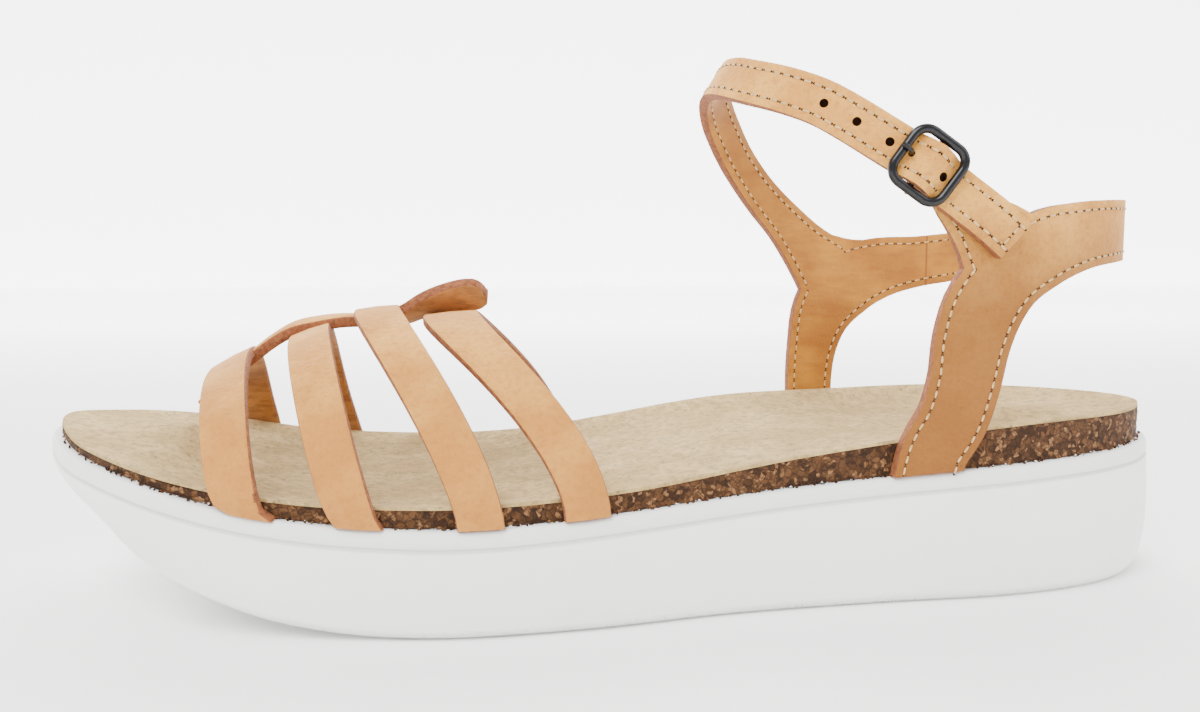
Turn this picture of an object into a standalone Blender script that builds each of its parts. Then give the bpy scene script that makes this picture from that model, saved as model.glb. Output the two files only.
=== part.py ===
"""A cork footbed sandal for the left foot, at real size.

Metres, +Z up. The toe points to -X and the heel to +X, the outer side of the foot is -Y and the
inner side +Y. The sandal stands on its sole at z = 0, with the origin below the middle of its box.
A station is a share of the footbed's length, 0 at the heel end and 1 at the toe tip.
"""

import math

import bmesh
import bpy
import numpy as np
from mathutils import Matrix, Vector
from mathutils.geometry import delaunay_2d_cdt

# Footbed and sole
FOOTBED_LENGTH = 0.256
BALL_WIDTH = 0.084
HEEL_RIM = 0.0391
CORK_SIDE = 0.009
ARCH_RISE = 0.0049
ARCH_STATION = 0.42
ARCH_SPREAD = 0.16
DISH_DEPTH = 0.0048
BED_HOLLOW = 0.0022
INSOLE_WALL = 0.0012
INSOLE_EDGE = 0.0007
SOLE_FLARE = 0.0024
SHOULDER_BAND = 0.0036
SHOULDER_GROOVE = 0.0005
TOE_SPRING = 0.0183
TOE_UNDERCUT = 0.0097
UNDERCUT_FROM = 0.78
HEEL_BEVEL = 0.0042
TREAD_DEPTH = 0.0012
TREAD_GROOVE = 0.0022
TREAD_PITCH = 0.0088
TREAD_MARGIN = 0.008
TREAD_FIRST, TREAD_LAST = 0.07, 0.93
WAIST_FIRST, WAIST_LAST = 0.36, 0.46

# Leather
STRAP_WIDTH = 0.0092
STRAP_WALL = 0.0022
RIM_SLOPE = 1.35
STRIP_WIDTH = 0.0092
STRIP_WALL = 0.0026
STRIP_ACROSS = 0.0045
INSTEP_HEIGHT = 0.0612
QUARTER_WALL = 0.0024
ANKLE_STRAP_WIDTH = 0.0096
HOLE_WIDTH = 0.0019
HOLE_PITCH = 0.0081
HOLE_LEAD = 0.0049

# The ankle that the quarters wrap, an upright rounded form
ANKLE_LENGTH = 0.0945
ANKLE_WIDTH = 0.066
ANKLE_BACK = 0.118
ANKLE_HEIGHT = 0.114
ANKLE_SQUARENESS = 2.3
ANKLE_SETTLE = 0.03
INSTEP_LEAN = 0.56
INSTEP_REACH = 0.006
INSTEP_TURN = 2.2
LEG_FOOT = 0.0286

# Buckle
BUCKLE_AT = 0.0759
BUCKLE_WIRE = 0.002
BUCKLE_WINDOW = 0.0104
BUCKLE_CORNER = 0.0042
BAR_WIRE = 0.0014
PRONG_WIRE = 0.001
LOOP_WALL = 0.0008
LOOP_WIDTH = 0.0084
LOOP_TURN = 4.2
SKIVED_RUN = 0.0145
SKIVED_WIDTH = 0.0135

# Clearance between pieces that touch, and how finely round forms are cut
GAP = 0.0003
OUTLINE_STEPS = 26
PATTERN_STEP = 0.0036

LATERAL, MEDIAL = -1, 1

OUTLINE = (
    # station, half width and centre line as shares of the ball width
    (0.00, 0.000, 0.002),
    (0.02, 0.154, 0.004),
    (0.05, 0.245, 0.004),
    (0.10, 0.325, 0.007),
    (0.18, 0.385, 0.011),
    (0.30, 0.389, -0.006),
    (0.42, 0.388, -0.043),
    (0.55, 0.443, -0.062),
    (0.65, 0.490, -0.036),
    (0.72, 0.500, -0.004),
    (0.80, 0.480, 0.020),
    (0.88, 0.423, 0.032),
    (0.94, 0.308, 0.068),
    (0.98, 0.157, 0.114),
    (1.00, 0.000, 0.165),
)

LEVELS = (
    # station, rim height as a share of the heel rim, cork side and dish as shares of their sizes
    (0.00, 1.000, 0.87, 0.50),
    (0.15, 0.982, 1.00, 1.00),
    (0.35, 0.849, 0.76, 0.35),
    (0.50, 0.716, 0.52, 0.30),
    (0.65, 0.665, 0.50, 0.40),
    (0.80, 0.714, 0.39, 0.50),
    (0.92, 0.867, 0.27, 0.42),
    (1.00, 0.949, 0.30, 0.40),
)

UNDERSIDE = (
    # station, height as a share of the toe spring
    (0.66, 0.00),
    (0.72, 0.04),
    (0.78, 0.17),
    (0.88, 0.58),
    (1.00, 1.00),
)

DISH = (
    # reach from the middle line to the edge, height as a share of the rim above the middle
    (0.00, 0.00),
    (0.45, 0.05),
    (0.70, 0.22),
    (0.86, 0.55),
    (0.95, 0.86),
    (1.00, 1.00),
)

SOLE_SIDE = (
    # share of the wall's height from the tread to the shoulder groove, outset as a share of the flare
    (0.00, -0.10),
    (0.06, 0.62),
    (0.18, 0.95),
    (0.45, 1.14),
    (0.75, 1.08),
    (0.97, 0.96),
)

STRAPS = (
    # outer station, inner station, lean to the toe as a share of the ball width, how late it leans,
    # crown height as a share of the instep, crown tilt, width at the crown as a share of the strap's
    (0.793, 0.840, 0.0714, 0.35, 0.8170, 28.0, 1.10),
    (0.713, 0.762, 0.1071, 0.70, 0.9183, 19.0, 1.02),
    (0.624, 0.665, 0.2143, 1.40, 1.0000, 6.0, 1.10),
    (0.544, 0.552, 0.3119, 1.70, 0.9804, 5.0, 1.35),
)

STRIP = (
    # station, height as a share of the instep, roll in degrees
    (0.8691, 0.6601, -4.0),
    (0.8574, 0.7124, 0.0),
    (0.8418, 0.7778, 2.0),
    (0.8262, 0.8301, 3.0),
    (0.8105, 0.8840, 3.0),
    (0.7930, 0.9281, 2.0),
    (0.7695, 0.9526, 0.0),
    (0.7461, 0.9641, 0.0),
    (0.7266, 0.9641, 3.0),
    (0.7090, 0.9706, 9.0),
    (0.6914, 0.9853, 19.0),
    (0.6738, 1.0196, 30.0),
    (0.6543, 1.0441, 40.0),
    (0.6348, 1.0588, 43.0),
    (0.6172, 1.0490, 43.0),
)

# The flat pattern of the quarters. Along is the distance round the ankle from the middle of the heel
# to the inner side as a share of the girth, height runs from the leg's foot at 0 to the strap's
# highest place at 1, and width is a share of the ankle strap's.
OUTER_LEG = (
    # along, height, width
    (-0.2859, 0.000, 1.583),
    (-0.2806, 0.052, 1.583),
    (-0.2660, 0.122, 1.604),
    (-0.2552, 0.222, 1.625),
    (-0.2491, 0.321, 1.729),
    (-0.2395, 0.403, 1.792),
    (-0.2188, 0.485, 1.729),
    (-0.1881, 0.546, 1.729),
    (-0.1497, 0.578, 1.521),
    (-0.0960, 0.594, 1.427),
    (0.0000, 0.594, 1.396),
    (0.0691, 0.574, 1.375),
    (0.1190, 0.546, 1.365),
    (0.1535, 0.529, 1.354),
)
OUTER_ARM = (
    # along, height, width
    (-0.2149, 0.508, 2.292),
    (-0.2322, 0.567, 1.875),
    (-0.2495, 0.623, 1.302),
    (-0.2641, 0.671, 1.042),
)
INNER_LEG = (
    # along, height, width
    (0.3001, 0.000, 1.313),
    (0.3009, 0.069, 1.313),
    (0.3013, 0.145, 1.333),
    (0.2986, 0.251, 1.458),
    (0.2894, 0.356, 1.792),
    (0.2668, 0.443, 2.000),
    (0.2303, 0.492, 1.729),
    (0.1919, 0.512, 1.438),
    (0.1574, 0.528, 1.354),
)
INNER_STRAP = (
    # along, height, width
    (0.2648, 0.415, 2.344),
    (0.2898, 0.494, 1.875),
    (0.3128, 0.564, 1.406),
    (0.3339, 0.630, 1.146),
    (0.3608, 0.704, 1.021),
    (0.3938, 0.802, 0.938),
    (0.4272, 0.902, 0.917),
    (0.4625, 0.975, 0.927),
    (0.4990, 1.000, 0.958),
    (0.5337, 0.991, 1.000),
    (0.5667, 0.965, 1.000),
    (0.5974, 0.937, 1.000),
    (0.6281, 0.899, 1.000),
    (0.6488, 0.862, 1.000),
    (0.6699, 0.821, 1.000),
    (0.7087, 0.744, 1.000),
    (0.7394, 0.670, 1.000),
    (0.7601, 0.615, 1.000),
    (0.7785, 0.564, 1.000),
)

LEATHER = (0.80, 0.55, 0.36)
LINING = (0.70, 0.46, 0.22)
SUEDE = (0.72, 0.62, 0.48)
CORK = (0.33, 0.21, 0.13)
WHITE = (0.90, 0.90, 0.88)
GUNMETAL = (0.03, 0.03, 0.035)


def smooth(rows, column, at, key=0):
    """One column of a table as a smooth curve through its rows, read where the key column is at."""
    table = np.array([[row[key], row[column]] for row in rows], float)
    xs, ys = table[:, 0], table[:, 1]
    if xs[0] > xs[-1]:
        xs, ys = xs[::-1], ys[::-1]
    slopes = np.gradient(ys, xs)
    at = np.clip(at, xs[0], xs[-1])
    i = np.clip(np.searchsorted(xs, at) - 1, 0, len(xs) - 2)
    step = xs[i + 1] - xs[i]
    u = (at - xs[i]) / step
    start, end = ys[i], ys[i + 1]
    rise, fall = slopes[i] * step, slopes[i + 1] * step
    cubic = 2 * start - 2 * end + rise + fall
    square = -3 * start + 3 * end - 2 * rise - fall
    return ((cubic * u + square) * u + rise) * u + start


def ease(share):
    """0 to 1 with level ends."""
    share = np.clip(share, 0.0, 1.0)
    return share * share * (3 - 2 * share)


def turn_of(station):
    """A station as an angle, which keeps the round ends of the outline round."""
    return np.arccos(np.clip(1 - 2 * np.asarray(station, float), -1.0, 1.0))


OUTLINE_BY_TURN = tuple((float(turn_of(row[0])), row[1], row[2]) for row in OUTLINE)


def station_x(station):
    return (0.5 - station) * FOOTBED_LENGTH


def edge(side, station):
    """The footbed's edge across from its middle line, on the given side."""
    half = smooth(OUTLINE_BY_TURN, 1, turn_of(station))
    centre = smooth(OUTLINE_BY_TURN, 2, turn_of(station))
    return BALL_WIDTH * (centre + side * np.maximum(half, 0.0))


def middle(station):
    return BALL_WIDTH * smooth(OUTLINE_BY_TURN, 2, turn_of(station))


def rim(side, station):
    """Height of the footbed's rim. The inner side rises at the arch."""
    bump = ARCH_RISE * np.exp(-(((station - ARCH_STATION) / ARCH_SPREAD) ** 2))
    return HEEL_RIM * smooth(LEVELS, 1, station) + (bump if side == MEDIAL else 0.0)


def sole_top(station):
    return rim(LATERAL, station) - CORK_SIDE * smooth(LEVELS, 2, station)


def underside(station):
    """Height of the tread: flat under heel and ball, rising at the toe, bevelled at the heel."""
    toe = TOE_SPRING * smooth(UNDERSIDE, 1, station)
    heel = HEEL_BEVEL * ease(1 - station / 0.07) ** 1.5
    return np.where(station > UNDERSIDE[0][0], toe, 0.0) + heel


def bed(side, station, reach):
    """The sole's top, which is hollowed under the middle of the footbed."""
    return sole_top(station) - BED_HOLLOW * float(ease((0.85 - reach) / 0.45))


def outward(side, station):
    """The level direction that points out of the outline."""
    step = 0.004
    low, high = max(station - step, 0.001), min(station + step, 0.999)
    run = station_x(high) - station_x(low)
    rise = edge(side, high) - edge(side, low)
    away = Vector((rise, -run, 0.0))
    away.normalize()
    return away if away.y * side > 0 else -away


def ring_stations():
    """Stations of the closed outline: heel, outer side, toe, inner side."""
    turns = [math.pi * i / OUTLINE_STEPS for i in range(OUTLINE_STEPS + 1)]
    stations = [(1 - math.cos(turn)) / 2 for turn in turns]
    around = [(LATERAL, station) for station in stations]
    around += [(MEDIAL, station) for station in reversed(stations[1:-1])]
    return around


def outline_ring(outset=0.0, reach=1.0):
    """The outline as (x, y) pairs, set out level by outset and drawn in to the middle by reach."""
    points = np.array([(station_x(s), edge(side, s)) for side, s in ring_stations()])
    before, after = np.roll(points, 1, 0), np.roll(points, -1, 0)
    run = after - before
    away = np.stack([run[:, 1], -run[:, 0]], 1)
    away /= np.linalg.norm(away, axis=1)[:, None]
    if np.dot(away[0], (1, 0)) < 0:
        away = -away
    points = points + away * outset
    half = 0.42 * BALL_WIDTH
    spine_x = np.clip(points[:, 0], -FOOTBED_LENGTH / 2 + half, FOOTBED_LENGTH / 2 - half)
    spine = np.stack([spine_x, middle(0.5 - spine_x / FOOTBED_LENGTH)], 1)
    return spine + (points - spine) * reach


def undercut(station):
    """How far back the tread starts under the toe."""
    return TOE_UNDERCUT * ease((station - UNDERCUT_FROM) / (1 - UNDERCUT_FROM))


def ring(level, outset=0.0, reach=1.0, forward=0.0):
    """A closed ring of points: level gives the height at a side and station, forward the share of the undercut."""
    flat = outline_ring(outset, reach)
    found = []
    for (side, station), (x, y) in zip(ring_stations(), flat):
        found.append(Vector((x + forward * undercut(station), y, level(side, station))))
    return found


def extruded(bm, border, points):
    """Extrudes a closed border of vertices once and puts the new ones at points, in order."""
    edges = []
    for here, there in zip(border, border[1:] + border[:1]):
        edges.append(bm.edges.get((here, there)))
    made = bmesh.ops.extrude_edge_only(bm, edges=edges)["geom"]
    new = {v for v in made if isinstance(v, bmesh.types.BMVert)}
    ordered = []
    for old in border:
        risen = next(e.other_vert(old) for e in old.link_edges if e.other_vert(old) in new)
        ordered.append(risen)
    for vert, point in zip(ordered, points):
        vert.co = point
    return ordered


def closed_border(bm, points):
    verts = [bm.verts.new(p) for p in points]
    for here, there in zip(verts, verts[1:] + verts[:1]):
        bm.edges.new((here, there))
    return verts


def lofted(rings, cap):
    """A closed solid through rings of equal count, capped at both ends."""
    bm = bmesh.new()
    border = closed_border(bm, rings[0])
    cap(bm, border)
    for points in rings[1:]:
        border = extruded(bm, border, points)
    cap(bm, border)
    bmesh.ops.recalc_face_normals(bm, faces=bm.faces)
    return bm


def foot_cap(bm, border):
    """Closes a foot-shaped ring with strips from its outer to its inner side."""
    count = len(border)
    for i in range(count // 2):
        corners = [border[i], border[i + 1], border[-i - 1], border[-i]]
        distinct = list(dict.fromkeys(corners))
        bm.faces.new(distinct)


def flat_cap(bm, border):
    bm.faces.new(border)


def material(name, colour, roughness, metallic=0.0):
    made = bpy.data.materials.new(name)
    made.use_nodes = True
    shader = made.node_tree.nodes["Principled BSDF"]
    shader.inputs["Base Color"].default_value = (*colour, 1.0)
    shader.inputs["Roughness"].default_value = roughness
    shader.inputs["Metallic"].default_value = metallic
    made.diffuse_color = (*colour, 1.0)
    return made


def placed(name, bm, finish, parent):
    """An object from a bmesh, standing under the sandal's own empty."""
    bmesh.ops.triangulate(bm, faces=bm.faces)
    mesh = bpy.data.meshes.new(name)
    bm.to_mesh(mesh)
    bm.free()
    mesh.shade_smooth()
    mesh.set_sharp_from_angle(angle=math.radians(35))
    made = bpy.data.objects.new(name, mesh)
    bpy.context.scene.collection.objects.link(made)
    made.parent = parent
    if finish:
        mesh.materials.append(finish)
    return made


def helper(name, bm, parent):
    """A guide solid that cuts or joins others and isn't a piece itself."""
    made = placed(name, bm, None, parent)
    made.hide_render = True
    made.display_type = "WIRE"
    return made


def boolean(target, operation, others):
    for other in others:
        modifier = target.modifiers.new(other.name, "BOOLEAN")
        modifier.operation = operation
        modifier.solver = "EXACT"
        modifier.object = other


def dished(lower):
    """Height of the footbed's top at a reach from the middle line, lowered by lower."""

    def level(side, station, reach):
        around = (rim(LATERAL, station) + rim(MEDIAL, station)) / 2
        centre = around - DISH_DEPTH * smooth(LEVELS, 3, station)
        share = smooth(DISH, 1, reach)
        return centre + (rim(side, station) - centre) * share - lower(reach)

    return level


def dish_rings(lower, reaches, outset):
    level = dished(lower)
    rings = []
    for reach in reaches:
        rings.append(ring(lambda side, s, r=reach: level(side, s, r), outset, reach))
    return rings


def insole_depth(reach):
    """The suede is thin at its trimmed edge."""
    return INSOLE_EDGE + (INSOLE_WALL - INSOLE_EDGE) * ease((1 - reach) / 0.12)


DISH_REACHES = (0.12, 0.45, 0.70, 0.84, 0.93, 1.0)
BED_REACHES = (0.12, 0.40, 0.63, 0.85, 1.0)


def insole(finish, parent):
    inset = -GAP
    top = dish_rings(lambda reach: 0.0, DISH_REACHES, inset)
    under = dish_rings(insole_depth, DISH_REACHES, inset)
    return placed("insole", lofted(under + top[::-1], foot_cap), finish, parent)


def cork_footbed(finish, parent):
    top = dish_rings(lambda reach: insole_depth(reach) + GAP, DISH_REACHES, 0.0)
    under = []
    for reach in BED_REACHES:
        under.append(ring(lambda side, s, r=reach: bed(side, s, r) + GAP, 0.0, reach))
    return placed("cork_footbed", lofted(under + top[::-1], foot_cap), finish, parent)


def sole(finish, parent):
    """The platform: tread, undercut toe, bulging wall, a fine groove and a shoulder under the cork."""
    rings = []
    for reach in (0.12, 0.55, 0.88):
        rings.append(ring(lambda side, s: underside(s), 0.0, reach, 1.0))
    for share, out in SOLE_SIDE:

        def wall(side, station, share=share):
            low, high = underside(station), sole_top(station) - SHOULDER_BAND
            return low + (high - low) * share

        rings.append(ring(wall, out * SOLE_FLARE, 1.0, 1 - ease(share)))
    shoulder = (
        # drop below the sole's top, outset
        (SHOULDER_BAND, SOLE_FLARE - SHOULDER_GROOVE),
        (SHOULDER_BAND - SHOULDER_GROOVE, SOLE_FLARE * 0.92),
        (SHOULDER_BAND * 0.22, SOLE_FLARE * 0.86),
        (0.0, SOLE_FLARE * 0.55),
    )
    for drop, out in shoulder:
        rings.append(ring(lambda side, s, d=drop: sole_top(s) - d, out))
    for reach in BED_REACHES[-2::-1]:
        rings.append(ring(lambda side, s, r=reach: bed(side, s, r), 0.0, reach))
    made = placed("sole", lofted(rings, foot_cap), finish, parent)
    boolean(made, "DIFFERENCE", [tread_grooves(parent)])
    return made


def tread_grooves(parent):
    """Bars across the tread are left between grooves that stop short of the sole's edge."""
    bm = bmesh.new()
    count = int((TREAD_LAST - TREAD_FIRST) * FOOTBED_LENGTH / TREAD_PITCH)
    for i in range(count + 1):
        station = TREAD_FIRST + i * TREAD_PITCH / FOOTBED_LENGTH
        if WAIST_FIRST < station < WAIST_LAST:
            continue
        along = station_x(station) + float(undercut(station))
        low, high = edge(LATERAL, station), edge(MEDIAL, station)
        slope = math.atan2(underside(station + 0.01) - underside(station - 0.01), 0.02 * FOOTBED_LENGTH)
        width = float(high - low) - 2 * TREAD_MARGIN
        groove = bmesh.ops.create_cube(bm, size=1.0)["verts"]
        bmesh.ops.scale(bm, vec=(TREAD_GROOVE, width, 2 * TREAD_DEPTH), verts=groove)
        bmesh.ops.rotate(bm, verts=groove, cent=(0, 0, 0), matrix=Matrix.Rotation(slope, 3, "Y"))
        centre = Vector((along, float(low + high) / 2, float(underside(station))))
        bmesh.ops.translate(bm, vec=centre, verts=groove)
    return helper("tread_grooves", bm, parent)


def swept(stations, widths, wall):
    """A strip of leather along (point, across, out) stations: a flat section carried along them."""
    rings = []
    for (point, across, out), width in zip(stations, widths):
        side, thick = across * (width / 2), out * (wall / 2)
        rings.append([point - side - thick, point + side - thick, point + side + thick, point - side + thick])
    return lofted(rings, flat_cap)


def framed(points, across):
    """Adds to each point of a route the direction across the strip and the one out of it."""
    found = []
    for i, point in enumerate(points):
        ahead = points[min(i + 1, len(points) - 1)] - points[max(i - 1, 0)]
        ahead.normalize()
        side = across[i] - ahead * across[i].dot(ahead)
        side.normalize()
        cut_end = i in (0, len(points) - 1)
        found.append((point, across[i] if cut_end else side, side.cross(ahead)))
    return found


def cork_corner(side, station):
    """The lower edge of the footbed, over the sole."""
    return Vector((station_x(station), float(edge(side, station)), float(sole_top(station))))


def strap_foot(side, station, wall):
    """The middle of a wall's lower edge, beside the cork and just over the sole."""
    return cork_corner(side, station) + outward(side, station) * (GAP + wall / 2) + Vector((0, 0, GAP))


def strap_route(row, steps=20):
    """A strap over the foot, from the sole's outer ledge over its crown to the inner ledge."""
    outer_station, inner_station, lean, late, crown, tilt, widening = row
    start = strap_foot(LATERAL, outer_station, STRAP_WALL)
    end = strap_foot(MEDIAL, inner_station, STRAP_WALL)
    tangents = []
    for side, station in ((LATERAL, outer_station), (MEDIAL, inner_station)):
        along = cork_corner(side, station - 0.01) - cork_corner(side, station + 0.01)
        tangents.append(along.normalized())
    crown_across = Vector((math.cos(math.radians(tilt)), 0.0, math.sin(math.radians(tilt))))
    points, across = [], []
    for i in range(steps + 1):
        turn = math.pi * i / steps
        sweep = math.cos(turn)
        spread = math.copysign(abs(sweep) ** (2 / 2.25), sweep)
        rise = math.sin(turn) ** (2 / 2.25)
        share = (1 - sweep) / 2
        base = start.lerp(end, share)
        across_middle = (start.y + end.y) / 2 - spread * (end.y - start.y) / 2
        x = base.x - lean * BALL_WIDTH * rise**late
        z = base.z + (crown * INSTEP_HEIGHT - base.z) * rise
        side = LATERAL if share < 0.5 else MEDIAL
        station = 0.5 - x / FOOTBED_LENGTH
        if z < rim(side, station) + STRAP_WALL:
            beside = edge(side, station) + side * (GAP + STRAP_WALL / 2) * RIM_SLOPE
            across_middle = side * max(side * across_middle, side * beside)
        points.append(Vector((x, across_middle, z)))
        side_across = tangents[0].lerp(tangents[1], share)
        across.append(side_across.lerp(crown_across, rise**2))
    widths = [STRAP_WIDTH * (1 + (widening - 1) * math.sin(math.pi * i / steps) ** 6) for i in range(steps + 1)]
    return framed(points, across), widths


def strip_route(steps=44):
    """The strip along the foot, under and over the straps."""
    points, across = [], []
    first, last = STRIP[0][0], STRIP[-1][0]
    for i in range(steps + 1):
        station = first + (last - first) * i / steps
        height = INSTEP_HEIGHT * float(smooth(STRIP, 1, station))
        roll = math.radians(float(smooth(STRIP, 2, station)))
        points.append(Vector((station_x(station), STRIP_ACROSS, height)))
        across.append(Vector((0.0, -math.cos(roll), math.sin(roll))))
    return framed(points, across)


def vamp(finish, parent):
    """Four straps and the strip woven through them, one wall joined where they cross."""
    straps = []
    for i, row in enumerate(STRAPS):
        straps.append(helper(f"vamp_strap_{i + 1}", swept(*strap_route(row), STRAP_WALL), parent))
    route = strip_route()
    made = placed("vamp", swept(route, [STRIP_WIDTH] * len(route), STRIP_WALL), finish, parent)
    boolean(made, "UNION", straps)
    return made


def ankle_plan():
    """The ankle form in plan: distance round it from the middle of the heel, and its points."""
    turns = np.linspace(-math.pi, math.pi, 721)
    power = 2 / ANKLE_SQUARENESS
    cos, sin = np.cos(turns), np.sin(turns)
    xs = ANKLE_BACK - ANKLE_LENGTH / 2 + ANKLE_LENGTH / 2 * np.sign(cos) * np.abs(cos) ** power
    ys = ANKLE_WIDTH / 2 * np.sign(sin) * np.abs(sin) ** power
    run = np.concatenate([[0.0], np.cumsum(np.hypot(np.diff(xs), np.diff(ys)))])
    return run - run[len(run) // 2], xs, ys


PLAN = ankle_plan()
GIRTH = float(PLAN[0][-1] - PLAN[0][0])


def pattern(rows):
    """A table of the flat pattern in metres."""
    rise = ANKLE_HEIGHT - LEG_FOOT
    return [(along * GIRTH, LEG_FOOT + height * rise, width * ANKLE_STRAP_WIDTH) for along, height, width in rows]


STRAP_ROWS = pattern(INNER_STRAP)


def ankle_point(along):
    run, xs, ys = PLAN
    along = (along - run[0]) % GIRTH + run[0]
    return Vector((float(np.interp(along, run, xs)), float(np.interp(along, run, ys)), 0.0))


def ankle_foot(along):
    """Below a place on the ankle form: the side and station of the footbed's edge, and the form's own way out."""
    here = ankle_point(along)
    ahead = ankle_point(along + 0.001) - ankle_point(along - 0.001)
    away = Vector((ahead.y, -ahead.x, 0.0)).normalized()
    side = MEDIAL if here.y > 0 else LATERAL
    return here, away, side, 0.5 - here.x / FOOTBED_LENGTH


def wrapped(along, height, level):
    """A point of the flat pattern on the quarters, level out from the middle of their wall.

    The leather stands upright round the ankle, leans back over the instep, and below follows the
    footbed's edge down to the sole's ledge.
    """
    here, away, side, station = ankle_foot(along)
    if height < LEG_FOOT + 2 * ANKLE_SETTLE:
        corner, level_out = cork_corner(side, station), outward(side, station)
        share = float(ease((height - float(rim(side, station))) / ANKLE_SETTLE))
        foot = Vector((corner.x, corner.y, 0.0)) + level_out * (GAP + QUARTER_WALL / 2)
        here = foot.lerp(here, share)
        away = level_out.lerp(away, share).normalized()
        height += (corner.z + GAP - LEG_FOOT) * float(ease(1 - (height - LEG_FOOT) / ANKLE_SETTLE))
    pivot = float(smooth(STRAP_ROWS, 1, along % GIRTH))
    lean = INSTEP_LEAN * max(0.0, -away.x) ** INSTEP_TURN * float(ease((height - LEG_FOOT) / ANKLE_SETTLE))
    reach = min(max(height - pivot, -INSTEP_REACH), INSTEP_REACH)
    rise = height - reach * (1 - math.cos(lean))
    tilted = away * math.cos(lean) + Vector((0, 0, math.sin(lean)))
    return here - away * (reach * math.sin(lean)) + Vector((0, 0, rise)) + tilted * level


def ribbon(rows, step=PATTERN_STEP, square=False):
    """The outline of a strip of leather whose middle line and width are in a table.

    A square one is cut level at its first row and upright at its last.
    """
    table = np.array(rows, float)
    run = np.concatenate([[0.0], np.cumsum(np.hypot(*np.diff(table[:, :2], axis=0).T))])
    keyed = np.column_stack([run, table])
    at = np.linspace(0.0, run[-1], int(run[-1] / step) + 2)
    line = np.stack([smooth(keyed, 1, at), smooth(keyed, 2, at)], 1)
    half = smooth(keyed, 3, at)[:, None] / 2
    ahead = np.gradient(line, axis=0)
    ahead /= np.linalg.norm(ahead, axis=1)[:, None]
    if square:
        ahead[0], ahead[-1] = (0.0, 1.0), (math.copysign(1.0, ahead[-1, 0]), 0.0)
    side = np.stack([-ahead[:, 1], ahead[:, 0]], 1)
    return np.concatenate([line + side * half, (line - side * half)[::-1]])


def inside(points, outline):
    """Which points lie inside an outline."""
    ends = np.roll(outline, -1, 0)
    found = np.zeros(len(points), bool)
    for (ax, ay), (bx, by) in zip(outline, ends):
        crosses = (ay > points[:, 1]) != (by > points[:, 1])
        if ay != by:
            found ^= crosses & (points[:, 0] < (bx - ax) * (points[:, 1] - ay) / (by - ay) + ax)
    return found


def clear_of(points, outline, margin):
    """Which points stay a margin away from an outline."""
    found = np.ones(len(points), bool)
    for start, end in zip(outline, np.roll(outline, -1, 0)):
        run = end - start
        share = np.clip((points - start) @ run / (run @ run), 0, 1)
        found &= np.linalg.norm(points - start - share[:, None] * run, axis=1) > margin
    return found


def flat_pattern(outlines, extra=None):
    """A flat sheet that joins strips of leather, cut into even triangles, one wall thick."""
    low, high = np.min([o.min(0) for o in outlines], 0), np.max([o.max(0) for o in outlines], 0)
    rows = np.arange(low[1], high[1], PATTERN_STEP * 0.87)
    grid = []
    for i, y in enumerate(rows):
        for x in np.arange(low[0] + (i % 2) * PATTERN_STEP / 2, high[0], PATTERN_STEP):
            grid.append((x, y))
    grid = np.array(grid)
    kept = np.zeros(len(grid), bool)
    for outline in outlines:
        kept |= inside(grid, outline)
    for outline in outlines:
        kept &= clear_of(grid, outline, PATTERN_STEP * 0.55)
    points = [Vector(p) for p in grid[kept]]
    points += [Vector(p) for p in (extra if extra is not None else [])]
    faces = []
    for outline in outlines:
        faces.append(list(range(len(points), len(points) + len(outline))))
        points += [Vector(p) for p in outline]
    found = delaunay_2d_cdt(points, [], faces, 1, 1e-7)
    bm = bmesh.new()
    verts = [bm.verts.new((p.x, p.y, -0.5)) for p in found[0]]
    for face in found[2]:
        bm.faces.new([verts[i] for i in face])
    bmesh.ops.remove_doubles(bm, verts=bm.verts, dist=0.0004)
    risen = bmesh.ops.extrude_face_region(bm, geom=bm.faces[:])["geom"]
    for item in risen:
        if isinstance(item, bmesh.types.BMVert):
            item.co.z = 0.5
    return bm


def buckle_axis():
    """The buckle's place in the flat pattern and the strap's direction there."""
    step = 0.004
    heights = [float(smooth(STRAP_ROWS, 1, GIRTH - BUCKLE_AT + offset)) for offset in (-step, 0.0, step)]
    ahead = Vector((2 * step, heights[2] - heights[0])).normalized()
    return Vector((GIRTH - BUCKLE_AT, heights[1])), ahead


def past_buckle(along, height):
    """How far a place in the pattern lies past the buckle's bar, and how far across the strap."""
    centre, ahead = buckle_axis()
    away = Vector((along % GIRTH, height)) - centre
    return away.dot(ahead), away.dot(Vector((-ahead.y, ahead.x)))


BUCKLE_HALF = BUCKLE_WINDOW / 2 + BUCKLE_WIRE / 2
BUCKLE_SIDE = ANKLE_STRAP_WIDTH / 2 + 1.6 * GAP + BUCKLE_WIRE / 2
FRAME_LEVEL = QUARTER_WALL / 2 + GAP + BUCKLE_WIRE / 2
BAR_LEVEL = BAR_WIRE / 2 - QUARTER_WALL / 2
RING_RADIUS = BAR_WIRE / 2 + GAP + PRONG_WIRE / 2
LOOP_RADIUS = BAR_WIRE / 2 + GAP + LOOP_WALL / 2
HUMP = BAR_LEVEL + RING_RADIUS + PRONG_WIRE / 2 + GAP + QUARTER_WALL / 2
PRONG_HOLE = -0.7 * BUCKLE_HALF


def strap_lift(past):
    """Past the buckle the strap lies on the quarter."""
    return (QUARTER_WALL + GAP) * float(ease((past - BUCKLE_HALF) / SKIVED_RUN))


def strap_level(past):
    """The strap passes under the frame, over its bar, under the frame and onto the quarter."""
    return HUMP * float(ease(1 - abs(past) / BUCKLE_HALF)) + strap_lift(past)


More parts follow.
